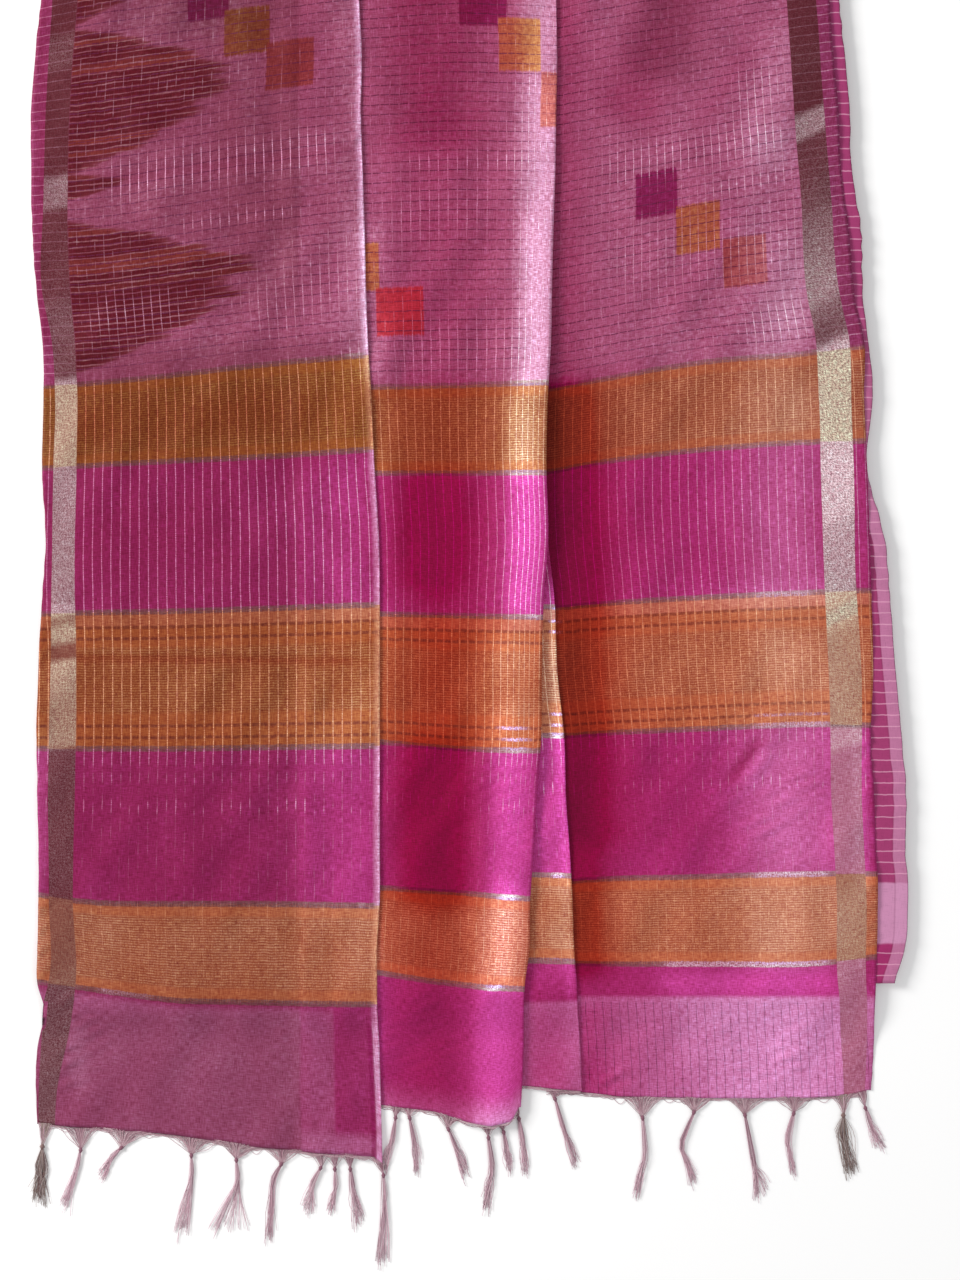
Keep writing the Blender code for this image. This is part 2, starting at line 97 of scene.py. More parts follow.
# Where the edges and folds run, and how high the roll stands, section by section down the cloth
SECTION_COLUMNS = ("down", "left", "fold", "roll", "strip", "right", "under", "crown")
SECTIONS = (
    (0, -474, -121, 98, 98, 402, 414, 3.9),
    (67, -481, -118, 99, 99, 407, 421, 4.4),
    (122, -485, -119, 98, 98, 412, 426, 5.2),
    (189, -485, -117, 97, 97, 415, 428, 6.6),
    (250, -484, -115, 95, 95, 423, 438, 8.0),
    (333, -478, -113, 93, 93, 431, 441, 9.5),
    (383, -472, -111, 92, 92, 441, 447, 10.4),
    (433, -471, -108, 89, 89, 441, 452, 11.0),
    (517, -473, -104, 87, 87, 444, 445, 11.5),
    (600, -469, -99, 89, 89, 447, 465, 12.0),
    (667, -473, -98, 84, 96, 449, 471, 12.0),
    (744, -477, -98, 82, 99, 451, 477, 12.0),
    (822, -479, -98, 81, 107, 448, 484, 12.0),
    (889, -478, -98, 76, 109, 452, 489, 11.5),
    (944, -477, -98, 73, 113, 454, 488, 11.0),
    (1000, -477, -98, 69, 116, 456, 491, 10.5),
    (1056, -478, -101, 68, 118, 455, 487, 10.0),
    (1094, -478, -101, 63, 121, 454, 476, 9.5),
    (1122, -471, -101, 62, 122, 453, 476, 9.2),
    (1161, -479, -99, 62, 125, 453, 476, 9.0),
    (1260, -480, -95, 57, 128, 446, 476, 8.6),
)

# Where each panel's hem runs: across, down
HEMS = {
    "left": ((-479, 1251), (-463, 1252), (-327, 1263), (-242, 1276), (-166, 1283), (-104, 1287), (-95, 1296)),
    "middle": ((-186, 1228), (-95, 1230), (-37, 1237), (-2, 1248), (26, 1252), (49, 1247), (57, 1231)),
    "strip": ((36, 1207), (64, 1208), (128, 1214)),
    "right": ((86, 1213), (131, 1216), (169, 1220), (258, 1222), (369, 1222), (425, 1219), (446, 1213)),
}

# How far in and out each selvedge puckers
PUCKER_DEPTHS = {"left": 0.35, "right": 0.4, "under": 0.7}

# The zari borders' outer and inner edges: down, left outer, left inner, right inner, right outer
ZARI_COLUMNS = ("down", "left_outer", "left_inner", "right_inner", "right_outer")
ZARI = (
    (0, -461, -434, 355, 387),
    (111, -468, -442, 362, 395),
    (222, -471, -445, 371, 404),
    (322, -473, -442, 377, 412),
    (378, -462, -437, 387, 424),
    (444, -458, -434, 391, 426),
    (522, -460, -435, 393, 429),
    (644, -462, -437, 397, 431),
    (733, -463, -435, 401, 437),
    (778, -464, -435, 403, 438),
    (889, -466, -437, 405, 438),
    (1000, -465, -439, 411, 443),
    (1094, -466, -436, 412, 443),
    (1112, -471, -438, 414, 444),
    (1155, -475, -446, 417, 445),
    (1211, -478, -458, 420, 443),
    (1290, -479, -461, 421, 441),
)

# Long soft swells of the single layers
HILL_COLUMNS = ("across", "down", "half_width", "half_length", "lean", "height")
SWELLS = (
    (-330, 170, 60, 190, 0.06, 2.6),
    (-420, 640, 34, 260, -0.02, 1.6),
    (-290, 860, 60, 150, 0.10, 2.0),
    (-340, 1150, 70, 70, 0.0, 1.6),
    (300, 150, 70, 160, -0.22, 2.8),
    (360, 560, 44, 220, 0.04, 2.2),
    (250, 800, 50, 190, -0.08, 1.8),
    (330, 1130, 70, 80, 0.05, 1.8),
)


def column(table, columns, name):
    """One named column of a table, as an array."""
    return np.array([row[columns.index(name)] for row in table], float)


def smooth(value, start, end):
    """A soft step from 0 at start to 1 at end: three times the share squared less twice its cube."""
    share = np.clip((value - start) / (end - start), 0.0, 1.0)
    return share * share * (3.0 - 2.0 * share)


def curve(value, places, heights):
    """A smooth curve through points. Between two points it is a cubic whose slope at each is the slope from
    the point before to the point after, and past the ends it runs on straight."""
    places = np.asarray(places, float)
    heights = np.asarray(heights, float)
    slopes = np.gradient(heights, places)
    index = np.clip(np.searchsorted(places, value) - 1, 0, len(places) - 2)
    width = places[index + 1] - places[index]
    raw = (value - places[index]) / width
    share = np.clip(raw, 0.0, 1.0)
    start, end = heights[index], heights[index + 1]
    first, last = slopes[index] * width, slopes[index + 1] * width
    square = share * share
    cube = square * share
    inside = (2 * cube - 3 * square + 1) * start + (cube - 2 * square + share) * first
    inside += (3 * square - 2 * cube) * end + (cube - square) * last
    return inside + np.where(raw < 0, raw * first, 0.0) + np.where(raw > 1, (raw - 1) * last, 0.0)


def edge(name, down):
    """Where a named edge or fold runs at distances down the cloth. The selvedges pucker a little."""
    downs = column(SECTIONS, SECTION_COLUMNS, "down")
    place = np.clip(down, 0.0, downs[-1])
    uneven = 0.55 + 0.45 * np.sin(place / 31 + 1.7 * np.sin(place / 73))
    pucker = uneven * np.sin(place / 5.6 + 2.1 * np.sin(place / 21) + 2.6 * np.sin(place / 47))
    line = curve(place, downs, column(SECTIONS, SECTION_COLUMNS, name))
    return line + PUCKER_DEPTHS.get(name, 0.0) * pucker


def zari(name, down):
    """Where a zari border's edge runs at distances down the cloth."""
    downs = column(ZARI, ZARI_COLUMNS, "down")
    return curve(np.clip(down, 0.0, downs[-1]), downs, column(ZARI, ZARI_COLUMNS, name))


def hem(panel, across):
    """How far down a panel's hem lies at places across."""
    points = np.array(HEMS[panel], float)
    return np.interp(across, points[:, 0], points[:, 1])


def layer(number):
    """Height of a layer's middle over what it rests on, counted from 1."""
    return FIRST_LAYER + (number - 1) * PITCH


def ground(down):
    """Height that the end piece rests on: the hidden layers, then a soft slope to the surface."""
    return STACK - (STACK + 0.3) * smooth(down, *SLOPE)


def hills(across, down, table):
    """The sum of soft hills: each is its height times the bell curve of the distance aside and along."""
    total = np.zeros(np.broadcast(across, down).shape)
    for row in table:
        hill = dict(zip(HILL_COLUMNS, row))
        along = down - hill["down"]
        aside = across - hill["across"] - hill["lean"] * along
        distance = (aside / hill["half_width"]) ** 2 + (along / hill["half_length"]) ** 2
        total += hill["height"] * np.exp(-distance)
    return total


def stretch(start, end, height, count, up=1.0):
    """A level stretch of a section, from start to end without its last point, for every row at once: across,
    height and the two parts of the normal. Its places are evenly shared."""
    share = np.arange(count) / count
    across = start[:, None] + (end - start)[:, None] * share
    level = np.broadcast_to(np.asarray(height, float).reshape(-1, 1), across.shape)
    return np.stack([across, level, np.zeros_like(across), np.full_like(across, up)], axis=-1)


def rise(start, end, low, high, count):
    """A soft climb between two heights, without its last point: height follows the soft step, and the normal
    is square to the step's slope."""
    share = np.arange(count) / count
    low = np.asarray(low, float).reshape(-1, 1)
    high = np.asarray(high, float).reshape(-1, 1)
    width = (end - start)[:, None]
    across = start[:, None] + width * share
    height = low + (high - low) * smooth(share, 0.0, 1.0) + np.zeros_like(across)
    slope = (high - low) / width * 6 * share * (1 - share)
    length = np.hypot(1.0, slope)
    return np.stack([across, height, -slope / length, 1.0 / length], axis=-1)


def turn(across, upper, lower, reach, count):
    """A fold that faces right, without its last point: half an ellipse from the upper layer to the lower."""
    angle = math.pi * np.arange(count) / count
    upper = np.asarray(upper, float).reshape(-1, 1)
    lower = np.asarray(lower, float).reshape(-1, 1)
    reach = np.asarray(reach, float).reshape(-1, 1)
    place = across[:, None] - reach + reach * np.sin(angle)
    height = (upper + lower) / 2 + (upper - lower) / 2 * np.cos(angle)
    aside = np.broadcast_to(np.sin(angle), place.shape)
    up = np.broadcast_to(np.cos(angle), place.shape)
    return np.stack([place, np.broadcast_to(height, place.shape), aside, up], axis=-1)


def columns_for(width, step):
    """How many columns a stretch of a width takes."""
    return max(1, round(width / step))


def left_section(down, step):
    """Left panel: selvedge, zari border, ground, up onto the turned layers, round the fold and back."""
    left, fold = edge("left", down), edge("fold", down)
    outer, inner = zari("left_outer", down), zari("left_inner", down)
    foot, head, tip = fold - RAMP[0], fold - RAMP[1], fold - TIP_WIDTH
    return np.concatenate([
        stretch(left, outer, layer(1), 4),
        stretch(outer, inner, layer(1), columns_for(26, step)),
        stretch(inner, foot, layer(1), columns_for(230, step)),
        rise(foot, head, layer(1), layer(3), columns_for(25, step)),
        stretch(head, tip, layer(3), columns_for(66, step)),
        stretch(tip, fold - FOLD_REACH, layer(3), 4),
        turn(fold, layer(3), layer(2), FOLD_REACH, 8),
        stretch(fold - FOLD_REACH, tip, layer(2), 2, -1.0),
        stretch(tip, fold - FOLD_UNDERLAP, layer(2), 5, -1.0),
        stretch(fold - FOLD_UNDERLAP, fold - FOLD_UNDERLAP - 1, layer(2), 1, -1.0),
    ], axis=1)


def middle_section(down, step):
    """Middle panel: from under the first fold, across the valley, up the roll, round its edge and back."""
    fold, roll, crown = edge("fold", down), edge("roll", down), edge("crown", down)
    start = fold - FOLD_UNDERLAP - CLEAR_OF_FOLD
    foot, head = roll - ROLL_START, roll - ROLL_CREST
    lower = layer(2.0 + 2.0 * smooth(down, STRIP_TOP - 260, STRIP_TOP - 60))
    reach = FOLD_REACH * (crown - lower) / 2
    return np.concatenate([
        stretch(start, fold - 4, layer(1), 8),
        stretch(fold - 4, foot, layer(1), columns_for(110, step)),
        rise(foot, head, layer(1), crown, columns_for(52, step * 0.8)),
        stretch(head, roll - reach, crown, columns_for(26, step * 0.8)),
        turn(roll, crown, lower, reach, 12),
        stretch(roll - reach, roll - ROLL_UNDERLAP, lower, 4, -1.0),
        stretch(roll - ROLL_UNDERLAP, roll - ROLL_UNDERLAP - 1, lower, 1, -1.0),
    ], axis=1)


def strip_section(down, step):
    """Pleat strip: from under the roll to its own fold and back underneath."""
    roll, strip = edge("roll", down), edge("strip", down)
    return np.concatenate([
        stretch(roll - STRIP_UNDERLAP, roll - 4, layer(3), 4),
        stretch(roll - 4, strip - TIP_WIDTH, layer(3), columns_for(48, step)),
        stretch(strip - TIP_WIDTH, strip - FOLD_REACH, layer(3), 4),
        turn(strip, layer(3), layer(2), FOLD_REACH, 8),
        stretch(strip - FOLD_REACH, strip - RIGHT_UNDERLAP - CLEAR_OF_FOLD, layer(2), 5, -1.0),
        stretch(strip - RIGHT_UNDERLAP - CLEAR_OF_FOLD, strip - RIGHT_UNDERLAP - 3, layer(2), 1, -1.0),
    ], axis=1)


def right_section(down, step):
    """Right panel: from under the pleats across the ground to the zari border and the selvedge."""
    strip, right = edge("strip", down), edge("right", down)
    inner, outer = zari("right_inner", down), zari("right_outer", down)
    return np.concatenate([
        stretch(strip - RIGHT_UNDERLAP, strip - 3, layer(1), 4),
        stretch(strip - 3, inner, layer(1), columns_for(290, step)),
        stretch(inner, outer, layer(1), columns_for(34, step)),
        stretch(outer, right, layer(1), 4),
        stretch(right, right + 0.1, layer(1), 1),
    ], axis=1)


def under_section(down, step):
    """The stretch behind: level from under the right panel to its outer edge, where it droops a little."""
    right, under = edge("right", down), edge("under", down)
    height = STACK - RECESS + layer(1)
    return np.concatenate([
        stretch(np.full_like(down, UNDER_START), right - 30, height, 16),
        stretch(right - 30, right - 4, height, 6),
        stretch(right - 4, under - 2, height, columns_for(38, step * 0.7)),
        stretch(under - 2, under + 0.2, height - 0.3, 2),
    ], axis=1)


def bend_axis(across):
    """Height of the line that the end piece bends round at the top fold, higher where pleats pile up."""
    fold, roll = float(edge("fold", 0.0)), float(edge("roll", 0.0))
    single = (STACK + layer(1) + SKIN) / 2
    piled = (STACK + layer(3) + SKIN) / 2
    share = smooth(across, fold - RAMP[0], fold - RAMP[1])
    share = share - smooth(across, fold + CLEAR_OF_FOLD, fold + SETTLED)
    share += smooth(across, roll - ROLL_START, roll - ROLL_UNDERLAP - 6)
    share -= smooth(across, roll + CLEAR_OF_FOLD, roll + SETTLED)
    return single + (piled - single) * share


# How far up the cloth its parts are woven: the hem, the top of the pale end, the start and top of the
# third, second and first band counted from the body, and two places in the body
WOVEN_UP = (0, 114, 152, 247, 416, 557, 724, 818, 1050, 1250)

# How far down all but the hem of these lie, at places across each panel. Each row starts with its place.
BANDS = {
    "left": (
        (-471, 1134, 1092, 995, 832, 682, 520, 429, 202, 8),
        (-434, 1136, 1097, 1001, 832, 681, 518, 427, 200, 0),
        (-320, 1150, 1112, 1004, 832, 679, 512, 416, 184, -16),
        (-253, 1154, 1114, 1004, 831, 677, 509, 408, 172, -25),
        (-108, 1159, 1116, 1006, 829, 672, 500, 394, 153, -42),
    ),
    "middle": (
        (-103, 1124, 1080, 986, 824, 682, 526, 430, 191, -10),
        (-8, 1136, 1094, 992, 832, 684, 526, 428, 187, -16),
        (86, 1141, 1099, 999, 834, 686, 526, 426, 190, -12),
    ),
    "strip": (
        (50, 1115, 1066, 971, 816, 673, 522, 428, 200, 0),
        (125, 1113, 1068, 973, 818, 675, 522, 428, 200, 0),
    ),
    "right": (
        (103, 1108, 1070, 980, 818, 675, 522, 430, 202, 0),
        (147, 1108, 1071, 977, 815, 671, 514, 422, 194, -9),
        (258, 1108, 1071, 974, 810, 664, 500, 403, 173, -27),
        (392, 1108, 1070, 971, 805, 658, 491, 391, 148, -47),
        (447, 1108, 1064, 971, 806, 656, 490, 383, 141, -53),
    ),
    "under": (
        (440, 1050, 1030, 984, 830, 680, 520, 428, 200, 0),
        (490, 1050, 1030, 984, 830, 680, 520, 428, 200, 0),
    ),
}

# Silver warp lines across each panel
LEFT_LINES = 33.0
MIDDLE_LINES = 22.5
MIDDLE_LINE_PLACES = ((0.0, 0.0), (0.5, 0.45), (0.82, 0.745), (1.0, 1.0))
RIGHT_LINES = 31.0
LINE_PITCH = 10.0

# Creases: soft troughs and ridges from one place to another, with a half width and a height
CREASE_COLUMNS = ("from_across", "from_down", "to_across", "to_down", "half_width", "height")
CREASES = (
    (-470, 722, -100, 724, 6, 0.5),
    (-470, 731, -100, 733, 3.2, -0.7),
    (-470, 741, -100, 742, 7, 0.4),
    (-436, 188, -122, 146, 9, 0.7),
    (-436, 205, -122, 163, 6, -0.5),
    (-436, 250, -180, 226, 7, 0.4),
    (-100, 178, 70, 176, 8, 0.6),
    (-100, 190, 80, 189, 3.5, -0.7),
    (-100, 222, 80, 216, 9, 0.6),
    (105, 196, 395, 142, 8, 0.7),
    (105, 209, 395, 156, 4, -0.6),
    (150, 250, 390, 196, 8, 0.4),
    (292, -60, 168, 128, 24, -0.8),
    (390, 20, 300, 190, 26, 1.5),
    (240, -50, 110, 90, 26, 1.0),
    (331, 815, 284, 880, 6, -0.8),
    (341, 822, 300, 892, 8, 0.8),
    (318, 806, 268, 868, 8, 0.6),
    (-132, 748, -101, 737, 3, 0.6),
    (-126, 757, -101, 748, 3, -0.5),
    (-130, 160, -120, 148, 3, 0.8),
    (-128, 172, -119, 158, 3, -0.6),
    (-212, 1146, -202, 1156, 4, 0.7),
    (-140, 1214, -120, 1240, 4, 0.6),
    (-150, 1100, -118, 1190, 14, 0.7),
    (136, 1211, 180, 1186, 4, 0.9),
    (140, 1216, 196, 1196, 4, -0.5),
    (150, 1180, 260, 1130, 10, 0.5),
    (-300, 20, -262, 300, 22, -0.6),
    (-262, 30, -230, 330, 24, 0.8),
    (-186, 440, -180, 1180, 10, 0.4),
    (-160, 430, -152, 1190, 12, -0.5),
    (-400, 360, -390, 700, 20, 0.6),
    (-340, 470, -352, 800, 22, -0.5),
    (-300, 700, -330, 1200, 24, 0.8),
    (-240, 520, -236, 1000, 26, 0.5),
    (-86, 60, -78, 900, 12, 0.7),
    (-50, 420, -40, 900, 20, -0.8),
    (-20, 80, -8, 420, 18, 0.6),
    (-60, 900, -52, 1220, 22, 0.9),
    (-10, 860, -2, 1220, 16, -0.6),
    (20, 700, 14, 1200, 10, 0.7),
    (196, 240, 188, 1180, 26, 0.8),
    (160, 400, 160, 1200, 16, -0.7),
    (262, 380, 250, 760, 22, -0.5),
    (300, 420, 318, 760, 18, 0.6),
    (350, 430, 346, 700, 14, -0.4),
    (230, 860, 262, 1200, 24, 0.7),
    (300, 960, 318, 1210, 20, -0.5),
    (370, 880, 380, 1200, 18, 0.7),
)

# Crinkled patches: where cross-wise crinkles show, how large the patch is and how high they are
CRINKLES = (
    (345, 885, 60, 80, 0.0, 0.45),
    (40, 905, 34, 60, 0.0, 0.5),
    (30, 640, 26, 70, 0.0, 0.3),
    (340, 1150, 70, 50, 0.0, 0.35),
    (-430, 1150, 26, 60, 0.0, 0.5),
    (-60, 1150, 60, 50, 0.0, 0.25),
    (330, 120, 60, 60, 0.0, 0.4),
    (30, 260, 26, 60, 0.0, 0.35),
)
CRINKLE_SEED = 11
CRINKLE_WAVES = 26
CRINKLE_LENGTHS = (44.0, 15.0)
UNEVEN_WAVES = 16
UNEVEN_LENGTHS = (90.0, 130.0)
UNEVEN_HEIGHT = 0.34

# How far creases wander, how steep the sides of strokes are, and the relief's gain and limits
CREASE_WANDER = 0.35
STROKE_POWER = 2.3
RELIEF_GAIN = 2.3
RELIEF_RANGE = (-0.9, 3.6)

# Puckers along the selvedges: first and last place down, how many, their places across and their lean
PUCKER_COLUMNS = ("first_down", "last_down", "count", "from_across", "to_across", "lean",
                  "half_width", "height")
PUCKERS = (
    (812, 925, 9, 438, 453, 7, 3.0, 0.8),
    (975, 1060, 9, 441, 456, 5, 2.6, 0.7),
    (1000, 1092, 9, -478, -464, 9, 2.8, 0.8),
    (1110, 1215, 10, -458, -436, 12, 3.0, 0.6),
    (300, 372, 5, -474, -462, 6, 3.0, 0.5),
    (640, 760, 8, -474, -464, 5, 3.2, 0.5),
)


def beside(across, down, row):
    """How far along and aside of a row's line points lie, and how long the line is."""
    start = np.array([row["from_across"], row["from_down"]], float)
    heading = np.array([row["to_across"], row["to_down"]], float) - start
    length = float(np.hypot(*heading))
    heading /= length
    along = (across - start[0]) * heading[0] + (down - start[1]) * heading[1]
    aside = (across - start[0]) * heading[1] - (down - start[1]) * heading[0]
    return along, aside, length


def crease_relief(across, down, rows):
    """Creases: each is its height times the bell curve of the distance from its line, which wanders a
    little, and fades over the first and last third of its length."""
    total = np.zeros(across.shape)
    for number, row in enumerate(rows):
        crease = dict(zip(CREASE_COLUMNS, row))
        along, aside, length = beside(across, down, crease)
        half = crease["half_width"]
        aside = aside + half * CREASE_WANDER * np.sin(along / (9 + half) + number)
        fade = smooth(along, -length / 12, length / 3) * smooth(along, length + length / 12, length * 2 / 3)
        total += crease["height"] * fade * np.exp(-((aside / half) ** 2))
    return total


def strokes(across, down, rows, soft=40.0):
    """Straight strokes of light or shade: each is at its height over its whole length, with soft ends and a
    bell curve across it."""
    total = np.zeros(across.shape)
    for row in rows:
        stroke = dict(zip(CREASE_COLUMNS, row))
        along, aside, length = beside(across, down, stroke)
        end = min(soft, length / 2)
        fade = smooth(along, 0, end) * smooth(along, length, length - end)
        total += stroke["height"] * fade * np.exp(-np.abs(aside / stroke["half_width"]) ** STROKE_POWER)
    return total


def pucker_rows():
    """The puckers as short creases, evenly shared along each stretch of selvedge and leaning by turns."""
    rows = []
    for row in PUCKERS:
        pucker = dict(zip(PUCKER_COLUMNS, row))
        count = pucker["count"]
        for number, place in enumerate(np.linspace(pucker["first_down"], pucker["last_down"], count)):
            lean = pucker["lean"] * (1.0 + 0.4 * math.sin(number * 2.3))
            sign = 1 if number % 2 else -0.8
            rows.append((pucker["from_across"], place, pucker["to_across"], place - lean,
                         pucker["half_width"], sign * pucker["height"]))
    return rows


def waves(across, down, seed, count, across_length, down_length):
    """The mean of slanting sine waves with seeded lengths and starts, between about -1 and 1."""
    random = np.random.default_rng(seed)
    total = np.zeros(across.shape)
    for _ in range(count):
        steps = random.uniform(0.6, 1.6, 2) / (across_length, down_length)
        sign = random.choice((-1.0, 1.0))
        turns = across * steps[0] * sign + down * steps[1]
        total += np.sin(2 * math.pi * turns + random.uniform(0, 2 * math.pi))
    return total / math.sqrt(count / 2)


def relief(across, down):
    """Height of the creases, puckers, crinkles and slow unevenness at points of the end piece."""
    total = crease_relief(across, down, CREASES) + crease_relief(across, down, pucker_rows())
    patch = hills(across, down, CRINKLES)
    total += patch * waves(across, down, CRINKLE_SEED, CRINKLE_WAVES, *CRINKLE_LENGTHS)
    total += UNEVEN_HEIGHT * waves(across, down, CRINKLE_SEED + 1, UNEVEN_WAVES, *UNEVEN_LENGTHS)
    return np.clip(total * RELIEF_GAIN, *RELIEF_RANGE)


# Painted light and shade on each panel, as strokes: darker as painted shade in the folds' hollows and
# where the sheer layers pile up, paler as painted highlights where a layer lies loose or turns to the light
TONES = {
    "left": (
        (-300, 90, -200, 280, 60, -0.12),
        (-118, -140, -116, 450, 26, 0.16),
        (-112, 230, -110, 440, 28, 0.18),
        (-150, 400, -140, 720, 44, 0.14),
        (-160, 760, -138, 1040, 58, 0.22),
        (-150, 380, -146, 590, 30, 0.05),
        (-124, 420, -118, 1160, 14, 0.08),
        (-168, 1110, -166, 1340, 16, 0.06),
        (-474, 780, -478, 1110, 9, 0.35),
        (-474, -140, -470, 400, 9, -0.35),
        (-440, 1120, -430, 1240, 12, 0.15),
        (-480, 731, -100, 735, 4, -0.5),
        (-480, 722, -100, 725, 5, 0.08),
        (-446, 206, -112, 164, 7, -0.2),
        (-270, -110, -236, 200, 9, 0.1),
        (-200, -110, -180, 160, 40, -0.15),
        (-470, 472, -90, 455, 46, -0.5),
        (-450, 600, -240, 596, 62, -0.2),
        (-470, 1050, -90, 1062, 42, 0.06),
        (-470, 1046, -380, 1050, 42, 0.1),
    ),
    "middle": (
        (-30, -140, -30, 440, 74, -0.45),
        (-45, -140, -50, 190, 60, -0.25),
        (-100, 220, -100, 460, 18, 0.22),
        (-102, 430, -102, 1230, 18, 0.3),
        (84, -140, 84, 110, 24, 0.6),
        (84, 70, 82, 270, 26, 0.85),
        (78, 230, 74, 460, 22, 1.05),
        (69, 430, 60, 710, 23, 0.85),
        (50, 680, 36, 1010, 30, 0.7),
        (34, 970, 24, 1310, 30, 0.6),
        (60, 405, 56, 545, 18, 0.6),
        (46, 965, 36, 1115, 18, 0.7),
        (-50, 640, -50, 840, 60, 0.4),
        (55, 730, 52, 800, 30, -0.3),
        (-30, 400, -30, 535, 74, -0.68),
        (-36, 500, -36, 1030, 60, -1.2),
        (-36, 990, -36, 1110, 52, -0.6),
        (-38, 1070, -36, 1330, 56, -0.5),
        (-96, -140, -96, 440, 12, 0.05),
    ),
    "strip": (
        (84, 630, 100, 1010, 44, 0.45),
        (100, 990, 106, 1100, 40, 0.12),
        (95, 630, 115, 1130, 6, 0.3),
        (84, 1095, 92, 1260, 34, -0.55),
    ),
    "right": (
        (96, -140, 98, 440, 36, -0.5),
        (96, 408, 106, 640, 48, -1.3),
        (106, 600, 122, 1110, 46, -1.3),
        (150, 390, 160, 960, 80, -0.35),
        (128, 1090, 138, 1260, 22, -0.15),
        (280, -110, 160, 150, 40, -0.45),
        (370, 20, 320, 200, 34, 0.22),
        (320, 40, 250, 150, 12, -0.15),
        (392, 150, 386, 330, 20, 0.12),
        (331, 812, 280, 884, 5, -0.5),
        (345, 820, 296, 900, 9, 0.15),
        (356, 806, 370, 980, 46, 0.12),
        (434, 790, 438, 1010, 10, 0.5),
        (338, 400, 352, 490, 44, 0.12),
        (356, 680, 378, 800, 44, 0.22),
        (352, 860, 330, 975, 50, 0.05),
        (408, 750, 414, 1080, 22, 0.2),
        (350, 980, 366, 1072, 46, 0.1),
        (345, 1070, 355, 1270, 88, 0.32),
        (134, 1090, 150, 1260, 52, -0.5),
        (350, 240, 346, 430, 50, 0.14),
        (350, 400, 350, 700, 54, 0.14),
        (348, 780, 352, 1010, 60, 0.2),
        (346, 965, 350, 1105, 44, 0.22),
        (388, 270, 350, 390, 30, 0.15),
        (190, 1092, 430, 1088, 15, 0.3),
        (150, 668, 450, 656, 17, 0.14),
    ),
    "under": (),
}

# Where the silver threads catch the light, as strokes
FLASHES = (
    (-410, 204, -136, 160, 18, 1.4),
    (-330, 252, -180, 232, 5, 1.0),
    (-430, 352, -310, 342, 20, 0.5),
    (-250, 352, -118, 300, 26, 0.5),
    (-80, 181, 76, 178, 9, 1.0),
    (-98, 244, 40, 228, 26, 0.6),
    (64, 60, 62, 420, 14, 0.2),
    (-90, 396, 80, 392, 36, 0.7),
    (56, 430, 56, 690, 16, 0.5),
    (40, 780, 64, 850, 18, 1.3),
    (30, 985, 60, 1010, 20, 1.2),
    (20, 1085, 40, 1105, 22, 1.3),
    (60, 650, 84, 700, 12, 1.3),
    (98, 660, 100, 1080, 8, 1.4),
    (140, 190, 360, 148, 17, 1.1),
    (250, 216, 372, 190, 9, 0.9),
    (330, 60, 300, 160, 22, 0.7),
    (150, 300, 390, 250, 40, 0.45),
    (300, 376, 386, 340, 20, 0.9),
    (300, 486, 392, 478, 10, 1.0),
    (300, 668, 400, 660, 14, 0.9),
    (300, 800, 420, 800, 12, 1.1),
    (300, 970, 420, 970, 10, 1.1),
    (200, 1074, 420, 1068, 9, 1.2),
    (-430, 1096, -330, 1108, 8, 1.0),
    (-330, 1108, -140, 1114, 7, 0.5),
    (-130, 1004, -104, 1003, 8, 0.8),
    (-150, 396, -104, 392, 8, 0.7),
)

# Where the zari borders shine, as painted reflection: down, left, right, from 0, dull, to 1, bright
SHINE_COLUMNS = ("down", "left", "right")
SHINES = (
    (-120, 0.0, 0.0),
    (34, 0.0, 0.0),
    (42, 0.04, 0.0),
    (72, 0.04, 0.01),
    (82, 0.0, 0.0),
    (120, 0.0, 0.0),
    (127, 0.0, 0.24),
    (147, 0.0, 0.24),
    (154, 0.0, 0.02),
    (193, 0.01, 0.03),
    (199, 0.17, 0.04),
    (228, 0.15, 0.06),
    (236, 0.01, 0.1),
    (328, 0.02, 0.25),
    (340, 0.06, 0.14),
    (368, 0.07, 0.08),
    (376, 0.06, 0.16),
    (384, 0.05, 0.52),
    (418, 0.05, 0.58),
    (426, 0.33, 0.52),
    (490, 0.29, 0.62),
    (520, 0.28, 0.7),
    (570, 0.25, 0.68),
    (584, 0.24, 0.48),
    (668, 0.24, 0.38),
    (674, 0.4, 0.46),
    (682, 0.36, 0.52),
    (688, 0.12, 0.46),
    (694, 0.16, 0.3),
    (699, 0.34, 0.22),
    (712, 0.25, 0.16),
    (718, 0.01, 0.17),
    (731, 0.01, 0.17),
    (736, 0.28, 0.16),
    (790, 0.15, 0.16),
    (826, 0.19, 0.18),
    (834, 0.04, 0.03),
    (975, 0.04, 0.03),
    (1005, 0.02, 0.12),
    (1070, 0.02, 0.12),
    (1096, 0.06, 0.03),
    (1300, 0.09, 0.02),
)

# How far down a border's bright stretches run for each millimetre across it
SHINE_LEAN = {"left": 0.16, "right": 0.45}

# Where a sheer panel lies over fewer layers it looks duller: each row is a line down a panel, and what is
# added to its right over a stretch down
VEIL_COLUMNS = ("from_down", "to_down", "from_across", "to_across", "amount")
VEILS = {
    "left": (
        (-400, 1400, -900, -900, 0.25),
        (370, 1400, -900, -900, 0.5),
        (1118, 1400, -900, -900, 0.35),
        (1118, 1400, -187, -186, -0.15),
        (380, 1400, -187, -186, -0.25),
        (380, 1400, -151, -150, -0.15),
        (-400, 330, -345, -262, 0.12),
        (-400, 400, -900, -900, 0.4),
        (-400, 400, -187, -186, -0.4),
        (250, 420, -151, -150, -0.15),
    ),
    "middle": ((-400, 190, -30, 20, -0.1),),
    "strip": (),
    "right": (),
    "under": (),
}
